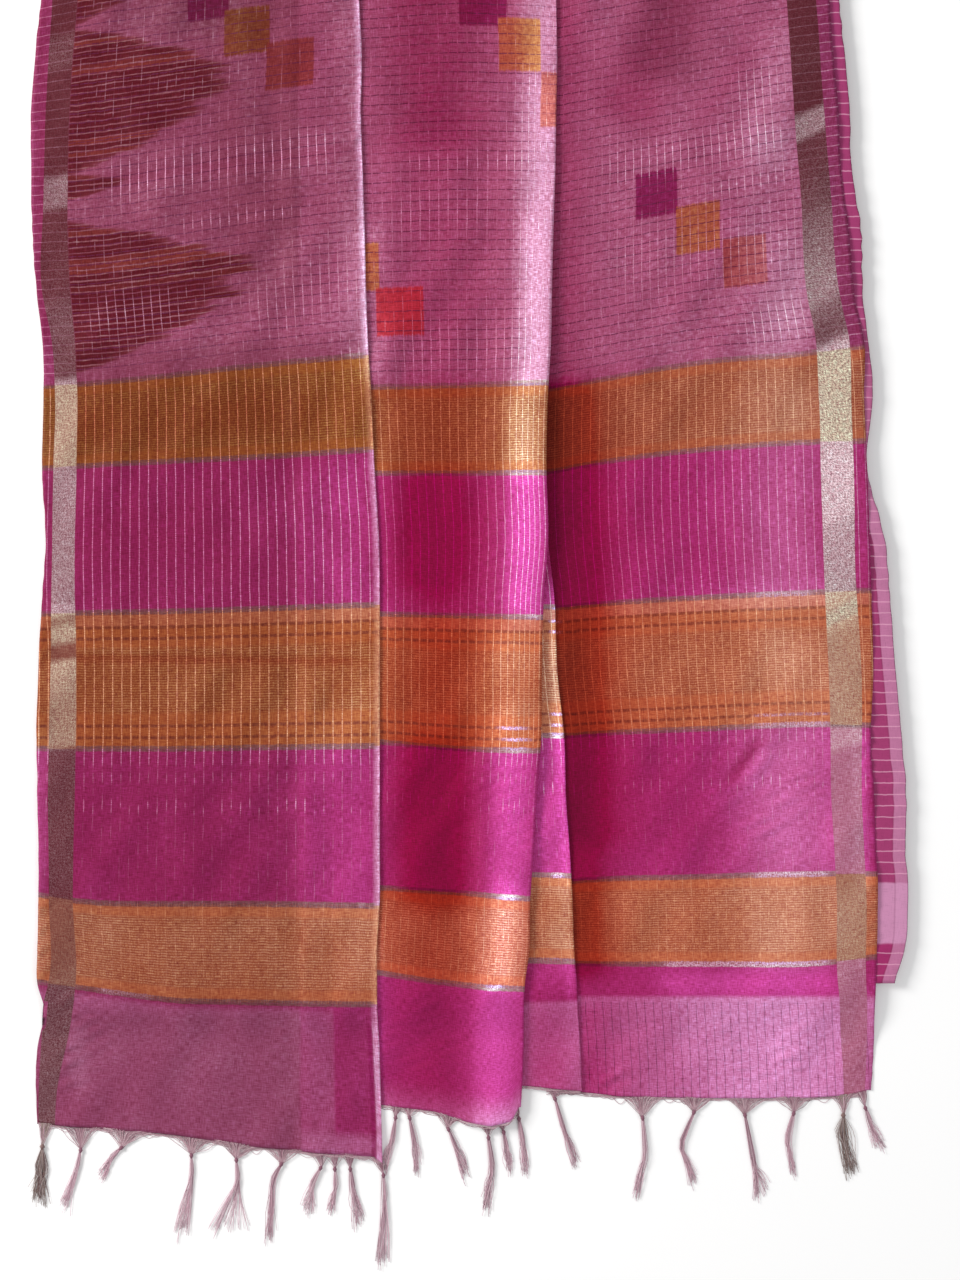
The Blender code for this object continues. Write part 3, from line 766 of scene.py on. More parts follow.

# Painted sheen, above 0, where the cloth looks milky, and painted shade, below 0, where it is dim, as strokes
SHEEN_AND_SHADE_STROKES = {
    "left": ((-320, -140, -300, 60, 90, -0.4),),
    "middle": ((-50, -140, -50, 170, 60, -0.25),),
    "right": (
        (222, -140, 222, 110, 46, -0.45),
        (352, 120, 348, 430, 46, 0.1),
        (354, 400, 356, 1090, 58, 0.1),
    ),
}


def woven_up(panel, across, down):
    """How far up from the hem the cloth is woven at points of a panel. Each band edge is a smooth curve
    through its stations, and between two edges the distance is shared evenly."""
    rows = np.array(BANDS[panel], float)
    stations = [hem(panel, across) if panel in HEMS else np.full(across.shape, 1098.0)]
    stations += [curve(across, rows[:, 0], rows[:, col]) for col in range(1, rows.shape[1])]
    result = np.zeros(across.shape)
    last = len(stations) - 2
    for number, (low, high) in enumerate(zip(stations, stations[1:])):
        share = (low - down) / (low - high)
        share = np.clip(share, None if number == 0 else 0.0, None if number == last else 1.0)
        result += share * (WOVEN_UP[number + 1] - WOVEN_UP[number])
    return result


def warp_lines(panel, across, down):
    """How many silver warp lines lie between a point and its zari border or its panel's first fold."""
    fold, roll, strip = edge("fold", down), edge("roll", down), edge("strip", down)
    if panel == "left":
        inner = zari("left_inner", down)
        return LEFT_LINES * (across - inner) / (fold - inner)
    if panel == "middle":
        places = np.array(MIDDLE_LINE_PLACES)
        return MIDDLE_LINES * curve((across - fold) / (roll - fold), places[:, 0], places[:, 1])
    if panel == "strip":
        return (across - strip) / LINE_PITCH + 0.4
    if panel == "right":
        return RIGHT_LINES * (across - strip) / (zari("right_inner", down) - strip)
    return across / LINE_PITCH


def border_shine(panel, across, down):
    """Painted reflection on the zari, 0 dull to 1 bright. Its bright stretches lean with the folds."""
    side = "right" if panel == "right" else "left"
    aside = across - (zari(f"{side}_outer", down) + zari(f"{side}_inner", down)) / 2
    place = down + SHINE_LEAN[side] * np.clip(aside, -20, 20)
    return np.interp(place, column(SHINES, SHINE_COLUMNS, "down"), column(SHINES, SHINE_COLUMNS, side))


def border_place(panel, across, down):
    """Place across a border: 0 at the selvedge, 1 and 2 at the zari's two edges, and 3 inside."""
    if panel == "left":
        left, outer, inner = edge("left", down), zari("left_outer", down), zari("left_inner", down)
    elif panel == "right":
        left, outer, inner = -edge("right", down), -zari("right_outer", down), -zari("right_inner", down)
        across = -across
    else:
        return np.full(across.shape, 3.0)
    outer = np.maximum(outer, left + 0.5)
    share = np.clip((across - left) / (outer - left), 0, 1)
    share = share + np.clip((across - outer) / (inner - outer), 0, 1)
    return share + np.clip((across - inner) / 20, 0, 1)


def veil(panel, across, down):
    """How dull a panel looks over fewer layers: steps at lines down the panel, soft at their ends."""
    total = np.zeros(across.shape)
    for row in VEILS[panel]:
        part = dict(zip(VEIL_COLUMNS, row))
        share = (down - part["from_down"]) / (part["to_down"] - part["from_down"])
        line = part["from_across"] + (part["to_across"] - part["from_across"]) * np.clip(share, 0, 1)
        ends = smooth(down, part["from_down"] - 10, part["from_down"] + 30)
        ends = ends * smooth(down, part["to_down"] + 10, part["to_down"] - 90)
        total += part["amount"] * ends * smooth(across, line - 2, line + 2)
    return total


def linear(code):
    """A colour's red, green and blue from its usual six-figure code, as linear light."""
    parts = [int(code[place:place + 2], 16) / 255 for place in (0, 2, 4)]
    return tuple(part / 12.92 if part <= 0.04045 else ((part + 0.055) / 1.055) ** 2.4 for part in parts)


def colour_property(label, description, code):
    """A colour that a user can change."""
    return FloatVectorProperty(name=label, description=description, default=linear(code), size=3,
                               subtype="COLOR", min=0.0, max=1.0)


class Value:
    """A number that shader nodes work out. Arithmetic on it adds Math nodes to its tree."""

    def __init__(self, tree, socket):
        self.tree = tree
        self.socket = socket

    def math(self, operation, *others):
        node = self.tree.nodes.new("ShaderNodeMath")
        node.operation = operation
        for socket, value in zip(node.inputs, (self, *others)):
            if isinstance(value, Value):
                self.tree.links.new(value.socket, socket)
            else:
                socket.default_value = value
        return Value(self.tree, node.outputs[0])

    def __add__(self, other):
        return self.math("ADD", other)

    def __sub__(self, other):
        return self.math("SUBTRACT", other)

    def __mul__(self, other):
        return self.math("MULTIPLY", other)

    def __neg__(self):
        return self.math("MULTIPLY", -1.0)

    def at_least(self, other):
        return self.math("MAXIMUM", other)

    def at_most(self, other):
        return self.math("MINIMUM", other)

    def size(self):
        """This value without its sign."""
        return self.math("ABSOLUTE")

    def rest(self):
        """One less this value."""
        return self.math("MULTIPLY", -1.0).math("ADD", 1.0)

    def step(self, start, end):
        """A soft step from 0 at start to 1 at end."""
        node = self.tree.nodes.new("ShaderNodeMapRange")
        node.interpolation_type = "SMOOTHSTEP"
        self.tree.links.new(self.socket, node.inputs["Value"])
        low, high, flip = (start, end, False) if start < end else (end, start, True)
        node.inputs["From Min"].default_value = low
        node.inputs["From Max"].default_value = high
        node.inputs["To Min"].default_value = 1.0 if flip else 0.0
        node.inputs["To Max"].default_value = 0.0 if flip else 1.0
        return Value(self.tree, node.outputs["Result"])

    def within(self, start, end, soft=1.0):
        """1 between start and end, 0 outside, with soft sides."""
        middle, half = (start + end) / 2, (end - start) / 2
        return (self - middle).size().step(half + soft / 2, half - soft / 2)

    def lines(self, pitch, half_width, soft, shift=0.0):
        """1 on thin lines that repeat at a pitch, 0 between them."""
        place = (self + (shift + pitch / 2)).math("FLOORED_MODULO", pitch) - pitch / 2
        return place.size().step(half_width + soft, half_width)


class Weave:
    """Shader nodes for one cloth: its attributes as values, its noises, and a colour painted on."""

    def __init__(self, name, ground):
        self.material = bpy.data.materials.new(name)
        self.material.use_nodes = True
        self.tree = self.material.node_tree
        self.shader = self.tree.nodes["Principled BSDF"]
        self.colour = ground

    def attribute(self, name):
        node = self.tree.nodes.new("ShaderNodeAttribute")
        node.attribute_name = name
        return Value(self.tree, node.outputs["Fac"])

    def noise(self, across, along, detail=1.0, seed=0.0):
        """Smooth noise over two values, between 0 and 1 and mostly near a half."""
        place = self.tree.nodes.new("ShaderNodeCombineXYZ")
        self.tree.links.new(across.socket, place.inputs[0])
        self.tree.links.new(along.socket, place.inputs[1])
        place.inputs[2].default_value = seed
        node = self.tree.nodes.new("ShaderNodeTexNoise")
        self.tree.links.new(place.outputs[0], node.inputs["Vector"])
        node.inputs["Scale"].default_value = 1.0
        node.inputs["Detail"].default_value = detail
        return Value(self.tree, node.outputs["Fac"])

    def chance(self, value, seed=0.0):
        """One random number, from 0 to 1, for each whole number."""
        node = self.tree.nodes.new("ShaderNodeTexWhiteNoise")
        node.noise_dimensions = "1D"
        whole = value.math("FLOOR") + seed
        self.tree.links.new(whole.socket, node.inputs["W"])
        return Value(self.tree, node.outputs["Value"])

    def join(self, source, socket):
        """Links a value or a painted result to a socket, or sets the socket to a number or a colour."""
        source = source.socket if isinstance(source, Value) else source
        if isinstance(source, bpy.types.NodeSocket):
            self.tree.links.new(source, socket)
        elif isinstance(source, float):
            socket.default_value = source
        else:
            socket.default_value = (*source, 1.0)

    def paint(self, colour, amount, blend="MIX"):
        """Paints a colour, or another painted result, over what is there by an amount."""
        node = self.tree.nodes.new("ShaderNodeMix")
        node.data_type = "RGBA"
        node.blend_type = blend
        node.clamp_factor = True
        self.join(self.colour, node.inputs["A"])
        self.join(colour, node.inputs["B"])
        self.join(amount, node.inputs["Factor"])
        self.colour = node.outputs["Result"]
        return self.colour

    def mixed(self, first, second, share):
        """A colour between two, by a share."""
        kept, self.colour = self.colour, first
        result = self.paint(second, share)
        self.colour = kept
        return result

    def finish(self, roughness, metallic, height, strength):
        """Links the painted colour, the gloss and the bump to the shader."""
        inputs = self.shader.inputs
        self.join(self.colour, inputs["Base Color"])
        self.join(roughness, inputs["Roughness"])
        self.join(metallic, inputs["Metallic"])
        bump = self.tree.nodes.new("ShaderNodeBump")
        bump.inputs["Strength"].default_value = strength
        bump.inputs["Distance"].default_value = THREAD_RELIEF
        self.join(height, bump.inputs["Height"])
        self.join(bump.outputs["Normal"], inputs["Normal"])
        inputs["Specular IOR Level"].default_value = CLOTH_SPECULAR
        inputs["Sheen Weight"].default_value = SHEEN_WEIGHT
        inputs["Sheen Roughness"].default_value = SHEEN_ROUGHNESS
        inputs["Sheen Tint"].default_value = SHEEN_TINT
        return self.material


# Woven pattern, up the cloth: the bands, their gold fields, the second one's salmon stripe and dark lines,
# where each panel's pale end gives way to magenta, and the pale band of the stretch behind
BAND_RANGES = (WOVEN_UP[2:4], WOVEN_UP[4:6], WOVEN_UP[6:8])
BAND_EDGES = WOVEN_UP[2:8]
BAND_SOFT = 1.6
HEM_TOP = WOVEN_UP[1]
THIRD_START = WOVEN_UP[2]
SECOND_START = WOVEN_UP[4]
BODY_START = WOVEN_UP[7]
GOLD_FIELDS = ((165, 234), (453, 520), (737, 805))
SALMON_RANGE = (542, 554)
DARK_LINES = (427.5, 439.5, 529.5, 541.0)
HEM_ENDS = {"left": (140, 152), "middle": (-20, 40), "strip": (110, 118), "right": (110, 118)}
PALE_RANGE = (44, 112)

# How each panel's bands are multiplied darker or paler than the usual colour, from the hem up
BAND_TINTS = {
    "left": ((1.14, 1.25, 1.35), (0.95, 0.92, 0.70), (0.77, 0.87, 0.48)),
    "middle": ((1.01, 0.74, 0.82), (0.95, 0.74, 0.64), (0.75, 0.68, 0.55)),
    "right": ((1.05, 1.06, 1.12), (1.02, 0.99, 1.0), (0.83, 0.81, 0.85)),
}

# Threads, in millimetres: lines at the bands' edges, pitches, half a warp line, the zari and the relief
EDGE_LINE = 3.0
GOLD_PITCH = 2.6
WEFT_PITCH = 10.7
BEHIND_PITCH = 12.6
BEAD_PITCH = 2.4
WARP_HALF = 0.2
ZARI_WIDTH = 28.0
THREAD_RELIEF = 0.3 * MM

# How matt the cloth is, and how strong its bump
CLOTH_BUMP = 0.35
CLOTH_SPECULAR = 0.08
SHEEN_WEIGHT = 0.02
SHEEN_ROUGHNESS = 0.45
SHEEN_TINT = (1.0, 0.72, 0.82, 1.0)

# What the colour is multiplied by: painted shade, painted highlights, little behind it, and its grain
SHADE_GROUND = (0.70, 0.0, 0.33)
SHADE_BAND = (0.68, 0.20, 0.15)
DEEPEST_SHADE = (0.45, 0.45, 0.45)
HIGHLIGHT_GROUND = (2.3, 5.0, 3.6)
HIGHLIGHT_BAND = (1.9, 3.2, 4.2)
MORE_BAND_HIGHLIGHT = (1.6, 1.9, 2.3)
DULLED = (0.5, 0.45, 0.40)
DIM_SHADE = (0.45, 0.45, 0.38)
GRAIN_DARK = (0.5, 0.15, 0.3)
GRAIN_PALE = (1.7, 2.6, 2.6)
SQUARE_SHADE = (0.12, 0.05, 0.0)

# Ikat flames on the left border: their middles up the cloth, and how far they reach down, up and inwards
FLAME_COLUMNS = ("up", "below", "above", "length")
FLAMES = (
    (1318, 100, 90, 190),
    (1139, 86, 80, 192),
    (1044, 17, 15, 70),
    (922, 94, 84, 208),
)
STREAK_PITCH = 6.4

# Where the magenta of the turned layer shows through the left panel's foot, in from its zari border
INNER_STARTS = (247.0, 283.0)

# Stepped squares: where their middles lie, half their size, which colour each has, and how deep its shade is
SQUARE_COLUMNS = ("across", "down", "half", "colour", "shade")
SQUARES = {
    "left": (
        (-288, -2, 24, "square_magenta", 0.0),
        (-245, 34, 26, "square_ochre", 0.3),
        (-197, 71, 27, "square_rust", 0.1),
        (-330, -46, 24, "square_rust", 0.1),
    ),
    "middle": (
        (18, 4, 24, "square_magenta", 0.0),
        (61, 50, 29, "square_ochre", 0.0),
        (101, 112, 30, "square_rust", 0.0),
        (-125, 297, 26, "square_ochre", 0.0),
        (-75, 346, 26, "square_red", 0.06),
    ),
    "right": (
        (210, 215, 26, "square_magenta", 0.08),
        (256, 253, 27, "square_ochre", 0.05),
        (308, 290, 27, "square_rust", 0.0),
    ),
}


def total_of(values):
    """The sum of several values."""
    result = values[0]
    for value in values[1:]:
        result = result + value
    return result


def paint_grounds(cloth, panel, up, wide, colours):
    """Plain grounds over the pale hem: magenta between the orange bands, and dusty pink above them. At the
    left panel's foot the magenta of the layer turned under it shows through."""
    cloth.paint(colours.magenta, up.step(*HEM_ENDS[panel]))
    if panel == "left":
        inner = total_of([wide.step(start - 2, start + 2) for start in INNER_STARTS])
        cloth.paint(colours.magenta, inner * up.within(20, THIRD_START, 14.0) * 0.46)
    cloth.paint(colours.body_pink, up.step(BODY_START - 1, BODY_START + 3))
    bands = total_of([up.within(low, high, BAND_SOFT) for low, high in BAND_RANGES])
    cloth.paint(colours.orange, bands)
    return bands


def paint_gold(cloth, panel, up, wide, colours, flash, fine):
    """Gold weft lines in each band, the salmon stripe and dark edge lines, with painted silver and gold
    glints.
    """
    fields = total_of([up.within(low, high, 5.0) for low, high in GOLD_FIELDS])
    patchy = cloth.noise(wide * 0.03, up * 0.02, 2.0, 3.0).step(0.3, 0.75)
    lines = up.lines(GOLD_PITCH, 0.25, 0.95)
    cloth.paint(colours.orange_deep, fields * 0.75)
    gold = fields * lines * (patchy * 0.3 + 0.15 + fine * 0.7 + flash * 0.5)
    cloth.paint(colours.gold, gold)
    cloth.paint(colours.salmon, up.within(*SALMON_RANGE, 1.5) * 0.9)
    dashes = wide.lines(LINE_PITCH, 1.0, 0.8).rest()
    thin = total_of([(up - place).size().step(2.4, 0.8) for place in DARK_LINES])
    edges = total_of([(up - place).size().step(EDGE_LINE + 0.9, EDGE_LINE - 0.9) for place in BAND_EDGES])
    for (low, high), tint in zip(BAND_RANGES, BAND_TINTS.get(panel, ())):
        cloth.paint(tint, up.within(low, high, BAND_SOFT), "MULTIPLY")
    cloth.paint(colours.band_line, thin * (dashes * 0.6 + fine * 0.35))
    cloth.paint(colours.edge_line, edges * (fine * 0.5 + 0.6))
    cloth.paint(colours.silver, (thin + edges) * flash.step(0.3, 1.5) * fine)
    return gold + edges


def paint_lines(cloth, panel, up, wide, colours, flash, lift, fine, tone):
    """Silver warp lines, whole in the bands and broken on the pink, and dark weft dashes between them."""
    near = wide.lines(LINE_PITCH, WARP_HALF, 0.5)
    number = (wide * (1 / LINE_PITCH) + 0.5).math("FLOOR")
    broken = cloth.noise(number * 7.3, up * 0.06, 1.0, 5.0)
    beads = up.lines(BEAD_PITCH, 0.5, 0.7) * 0.5 + 0.5
    bands = up.within(SECOND_START, BODY_START, 20.0)
    rows = up.within(SECOND_START - 18, SECOND_START, 6.0) + up.within(379, 389, 5.0) * 0.5
    rows = rows + up.within(346, 360, 6.0) * broken.step(0.4, 0.6)
    fading = rows + up.within(190, SECOND_START, 60.0) * 0.35 * broken.step(0.4, 0.7)
    # On the pink body the silver lines show mostly in the painted glints
    body = up.step(BODY_START - 2, BODY_START + 4) * (flash * 0.9 + broken.step(0.45, 0.7) * 0.22)
    low = up.within(*BAND_RANGES[0], 8.0) * broken.step(0.3, 0.6) * (0.1 if panel == "left" else 0.3)
    shown = bands * (broken.step(0.2, 0.55) * 0.4 + 0.4) + fading * 0.5 + low
    threads = near * beads * (fine * 0.6 + 0.6)
    cloth.paint(lift, (threads * shown).at_most(0.9))
    silver = threads * (shown + body).at_most(1.0)
    cloth.paint(colours.silver, (threads * body).at_most(0.95))
    # The dark weft dashes fade where the painted highlights are strongest
    weft = up.lines(WEFT_PITCH, 0.3, 0.55) * up.step(BODY_START + 4, BODY_START + 12) * tone.step(1.15, 0.3)
    gaps = wide.lines(LINE_PITCH, 0.4, 0.6).rest()
    patchy = cloth.noise(wide * 0.02, up * 0.02, 1.0, 8.0).step(0.25, 0.6)
    cloth.paint(colours.dark_thread, weft * gaps * (patchy * 0.35 + 0.5))
    across = up.step(BODY_START - 2, BODY_START + 8) * wide.lines(LINE_PITCH, 0.15, 0.5, LINE_PITCH / 2)
    cloth.paint(colours.dark_thread, across * fine * 0.3)
    if panel == "right":
        pale = up.step(HEM_TOP - 2, HEM_TOP - 8)
        plain = pale * wide.lines(LINE_PITCH, 0.2, 0.5) * (broken.step(0.25, 0.55) * 0.6 + 0.3)
        rows = pale * up.lines(WEFT_PITCH, 0.2, 0.5) * broken.step(0.5, 0.7)
        cloth.paint(colours.dark_thread, (plain + rows * 0.5) * 0.7)
    return silver


def paint_flames(cloth, up, wide, colours):
    """Ikat flames: thin streaks, each about as long as the flame is there, feathered at its tip."""
    wobble = cloth.noise(wide * 0.03, up * 0.25, 2.0, 2.0) - 0.5
    streak = (up + wobble * 3.0) * (1 / STREAK_PITCH)
    chance = cloth.chance(streak, 0.5)
    tint = cloth.chance(streak, 40.5)
    reach = None
    for row in FLAMES:
        flame = dict(zip(FLAME_COLUMNS, row))
        over = (up - flame["up"]) * (1 / flame["above"])
        under = (up - flame["up"]) * (-1 / flame["below"])
        far = over.at_least(under)
        shape = far.math("POWER", 1.7).rest().at_least(0.0) * flame["length"]
        shape = shape * (chance * 0.2 + 0.86)
        reach = shape if reach is None else reach.at_least(shape)
    inside = reach - wide + wobble * 30
    feather = cloth.noise(wide * 0.07, up * 1.3, 3.0, 6.0)
    body = inside.step(-2, 16) * wide.step(-1, 2) * reach.step(2, 8)
    core = (streak.math("FRACT") - 0.5).size().step(0.5, 0.32)
    dense = (inside.step(0, 40) * 0.35 + 0.65) * (feather.step(0.25, 0.6) * 0.4 + 0.68)
    share = tint.step(0.74, 0.95) * 0.65 + inside.step(30, 4) * 0.35
    colour = cloth.mixed(colours.ikat_maroon, colours.ikat_brick, share.at_most(1.0))
    cloth.paint(colours.ikat_maroon, body * 0.45)
    cloth.paint(colour, body * core * dense.at_most(0.98))
    pale = core.rest() * (chance.step(0.15, 0.8) * 0.45 + 0.12) * (feather.step(0.3, 0.6) * 0.5 + 0.5)
    cloth.paint(colours.ikat_gap, body * pale)


def paint_squares(cloth, panel, up, wide, colours):
    """Stepped squares, square to the weave, blurred by a thread or two, with their threads showing."""
    for row in SQUARES.get(panel, ()):
        square = dict(zip(SQUARE_COLUMNS, row))
        across, down = np.array([square["across"]], float), np.array([square["down"]], float)
        middle_up = float(woven_up(panel, across, down)[0])
        middle_wide = float(warp_lines(panel, across, down)[0]) * LINE_PITCH
        half = square["half"]
        grain = (cloth.noise(wide * 1.2, up * 0.12, 2.0, middle_up) - 0.5) * 7
        inside = (wide - middle_wide + grain * 0.3).size().step(half + 0.8, half - 0.8)
        inside = inside * (up - middle_up + grain).size().step(half + 1.4, half - 1.4)
        cloth.paint(getattr(colours, square["colour"]), inside * 0.92)
        cloth.paint(SQUARE_SHADE, inside * square["shade"], "MULTIPLY")


def paint_borders(cloth, panel, up, bands, border, shine, colours):
    """The zari border is a fine slanting twill, dull brown with a painted reflection of bright silver, golder
    in the bands, and the selvedge outside it is magenta."""
    inward = border * ZARI_WIDTH
    speck = cloth.noise((inward - up) * 0.75, (inward + up) * 0.3, 1.0, 7.0).step(0.3, 0.7)
    strip = border.within(0.98, 2.02, 0.05)
    outer = border.step(1.02, 0.96)
    darker = 0.3 if panel == "left" else 0.12
    golden = 0.5 if panel == "right" else 0.18
    body = up.step(BODY_START - 2, BODY_START + 4)
    cloth.paint(colours.selvedge, outer * (body * (0.97 - darker) + darker) * bands.rest())
    bright = (shine + (speck - 0.5) * (shine * 1.1 + 0.05)).at_least(0.0).at_most(1.0)
    cloth.paint(colours.zari_dull, strip * 0.95)
    cloth.paint(colours.gold, strip * bands * shine.step(0.5, 0.36) * golden)
    if panel == "right":
        cloth.paint(colours.zari_mauve, strip * up.step(SECOND_START, SECOND_START - 6) * bands.rest() * 0.75)
    # Painted reflection: the bright zari colour where the border shines
    cloth.paint(cloth.mixed(colours.zari_bright, colours.zari_gold, bands), strip * bright)
    weft = up.lines(WEFT_PITCH, 0.2, 0.5, 3.0) * border.step(2.02, 1.98)
    cloth.paint(colours.silver, weft * up.step(BODY_START + 4, BODY_START + 12) * (outer * 0.25 + 0.1))
    return strip


def paint_light(cloth, tone, bands):
    """Painted shade of folds and piled sheer layers, taking green and blue before red, then neutral, and
    painted highlights, which add most to green. A tone past 1 lights the bands once more."""
    shade = (-tone).at_least(0.0)
    cloth.paint(cloth.mixed(SHADE_GROUND, SHADE_BAND, bands), shade.at_most(1.0), "MULTIPLY")
    cloth.paint(DEEPEST_SHADE, (shade - 1.0).at_least(0.0), "MULTIPLY")
    cloth.paint(cloth.mixed(HIGHLIGHT_GROUND, HIGHLIGHT_BAND, bands), tone.at_least(0.0).at_most(1.0), "MULTIPLY")
    cloth.paint(MORE_BAND_HIGHLIGHT, (tone - 1.0).at_least(0.0).at_most(1.0) * bands, "MULTIPLY")


def paint_veils(cloth, dull, sheen_and_shade, bands, colours):
    """Dulls it where little lies behind; painted shade dims it, and above 0 painted sheen makes it milky."""
    cloth.paint(DULLED, dull, "MULTIPLY")
    cloth.paint(DIM_SHADE, (-sheen_and_shade).at_least(0.0), "MULTIPLY")
    cloth.paint(cloth.mixed(colours.behind_pale, colours.silver_gold, bands), sheen_and_shade.at_least(0.0))


def paint_rim(cloth, panel, up, rim, bands, fine, colours):
    """The lit edge of the first fold, with its own pale and dark lines at the left panel's foot."""
    if panel == "left":
        foot = up.step(138, 124)
        cloth.paint(colours.square_magenta, rim.within(6.2, 12.0, 2.0) * foot * 0.6)
        cloth.paint(colours.behind_pale, rim.step(7.0, 5.4) * foot * 0.5)
    glowing = cloth.mixed(colours.fold_edge, colours.silver_gold, bands)
    cloth.paint(glowing, rim.step(9.0, 1.0) * 0.38 + rim.step(3.0, 1.0) * fine * 0.35)


def cloth_material(panel, colours):
    """The end piece's cloth for one panel, painted in woven coordinates."""
    cloth = Weave(f"{panel}_cloth", colours.hem_pink)
    raw_up, lines = cloth.attribute("woven_up"), cloth.attribute("warp_lines")
    border, shine = cloth.attribute("border"), cloth.attribute("shine")
    tone, flash = cloth.attribute("tone"), cloth.attribute("flash")
    sway = cloth.noise(lines * 0.9, raw_up * 0.02, 2.0, 1.0) - 0.5
    up = raw_up + sway * 1.8
    wide = (lines + (cloth.noise(lines * 0.2, raw_up * 0.03, 2.0, 12.0) - 0.5) * 0.16) * LINE_PITCH
    fine = cloth.noise(wide * 0.7, up * 0.5, 1.0, 17.0).step(0.3, 0.7)
    bands = paint_grounds(cloth, panel, up, wide, colours)
    if panel == "left":
        paint_flames(cloth, up, wide, colours)
    paint_squares(cloth, panel, up, wide, colours)
    gold = paint_gold(cloth, panel, up, wide, colours, flash, fine)
    paint_veils(cloth, cloth.attribute("veil"), cloth.attribute("sheen_and_shade"), bands, colours)
    lift = cloth.mixed(colours.line_pink, colours.silver_gold, bands)
    silver = paint_lines(cloth, panel, up, wide, colours, flash, lift, fine, tone)
    strip = paint_borders(cloth, panel, up, bands, border, shine, colours)
    paint_rim(cloth, panel, up, cloth.attribute("rim"), bands, fine, colours)
    # Painted light and shade: the tone strokes, with random mottle and painted crinkle shading, less on the
    # zari
    mottle = cloth.noise(wide * 0.018, up * 0.016, 3.0, 16.0) - 0.5
    crinkle = cloth.noise(wide * 0.14, up * 0.24, 4.0, 18.0) - 0.5
    soft = up.step(BODY_START - 18, BODY_START + 12) * 0.35 + 0.35
    steady = strip * -0.75 + 1.0
    paint_light(cloth, (tone + mottle * 0.35 + crinkle * soft) * steady, bands)
    warp_grain = cloth.noise(wide * 1.3, up * 0.12, 2.0, 14.0)
    grain = warp_grain + cloth.noise(wide * 0.12, up * 1.1, 2.0, 15.0) - 1.0
    cloth.paint(GRAIN_DARK, (-grain).at_least(0.0) * 2.1, "MULTIPLY")
    # The pale grain is stronger under painted highlights
    cloth.paint(GRAIN_PALE, grain.at_least(0.0) * (tone.step(0.3, 1.0) * 1.5 + 1.5), "MULTIPLY")
    roughness = (silver * -0.2) + (strip * -0.12) + 0.58
    metallic = strip * shine * 0.35 + silver * flash * 0.2
    height = grain * 0.8 + silver * 0.5 + gold * 0.2 + strip * 0.2
    return cloth.finish(roughness, metallic.at_most(0.6), height, CLOTH_BUMP)


def behind_material(name, colours):
    """The stretches behind: dusty pink with pale weft lines, a pale band and a magenta end near the foot."""
    cloth = Weave(name, colours.behind_pink)
    raw_up, lines = cloth.attribute("woven_up"), cloth.attribute("warp_lines")
    border, tone = cloth.attribute("border"), cloth.attribute("tone")
    wide = lines * LINE_PITCH
    up = raw_up + (cloth.noise(lines * 0.9, raw_up * 0.05, 2.0, 1.0) - 0.5) * 2.4
    pale_band = up.within(*PALE_RANGE, 3.0)
    cloth.paint(colours.behind_pale, pale_band * 0.9)
    cloth.paint(colours.magenta, up.step(PALE_RANGE[0] + 2, PALE_RANGE[0] - 2) * 0.6)
    cloth.paint(colours.behind_pale, border.step(0.98, 0.9) * up.step(820, 500) * 0.55)
    cloth.paint(colours.dark_thread, (border - 0.97).size().step(0.08, 0.03) * 0.2)
    cloth.paint(colours.dark_thread, border.step(0.12, 0.05) * 0.8)
    pale = up.lines(BEHIND_PITCH, 0.35, 0.6, 4.0) * pale_band.rest()
    cloth.paint(colours.silver, pale * 0.6)
    warp_grain = cloth.noise(wide * 1.5, up * 0.10, 2.0, 14.0)
    grain = warp_grain + cloth.noise(wide * 0.10, up * 1.3, 2.0, 15.0) - 1.0
    # Painted shade from the tone, which only the hidden layers carry
    paint_light(cloth, tone, 0.0)
    cloth.paint((0.0, 0.0, 0.0), (-grain).at_least(0.0) * 0.6)
    return cloth.finish(0.6, 0.0, grain * 0.8 + pale * 0.6, CLOTH_BUMP)


def thread_material(name, colour, tip):
    """Loose warp threads: dull mauve, darker at the knot, paler along the tips, no two alike."""
    cloth = Weave(name, colour)
    along, strand = cloth.attribute("along"), cloth.attribute("strand")
    cloth.paint(tip, along.step(0.0, 0.85))
    cloth.paint((0.10, 0.02, 0.05), strand.step(0.72, 1.0) * 0.55)
    cloth.paint((0.9, 0.8, 0.82), strand.step(0.3, 0.0) * 0.35)
    twist = cloth.noise(strand * 50.0, along * 40.0, 2.0, 3.0)
    return cloth.finish(0.7, 0.0, twist, 0.3)


def to_world(places):
    """Millimetres across, down and up as metres along X, Y and Z."""
    x = (places[..., 0] - MIDDLE_ACROSS) * MM
    y = (MIDDLE_DOWN - places[..., 1]) * MM
    return np.stack([x, y, places[..., 2] * MM], axis=-1)


def add_mesh(name, vertices, faces, material, values=None):
    """A mesh object from arrays: its vertices in world metres, its faces as rows of indices, its own values
    at each vertex and its material."""
    mesh = bpy.data.meshes.new(name)
    mesh.vertices.add(len(vertices))
    mesh.vertices.foreach_set("co", np.ascontiguousarray(vertices, np.float32).ravel())
    sides = faces.shape[1]
    mesh.loops.add(faces.size)
    mesh.loops.foreach_set("vertex_index", faces.astype(np.int32).ravel())
    mesh.polygons.add(len(faces))
    mesh.polygons.foreach_set("loop_start", np.arange(0, faces.size, sides, dtype=np.int32))
    mesh.update(calc_edges=True)
    mesh.validate()
    for label, numbers in (values or {}).items():
        layer_data = mesh.attributes.new(label, "FLOAT", "POINT")
        layer_data.data.foreach_set("value", np.ascontiguousarray(numbers, np.float32).ravel())
    mesh.shade_smooth()
    mesh.materials.append(material)
    item = bpy.data.objects.new(name, mesh)
    bpy.context.scene.collection.objects.link(item)
    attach(item, ROOT)
    return item


def grid_faces(rows, columns):
    """Quads between the points of a grid, as indices row by row."""
    index = np.arange(rows * columns).reshape(rows, columns)
    return np.stack([index[:-1, :-1], index[:-1, 1:], index[1:, 1:], index[1:, :-1]], axis=-1).reshape(-1, 4)


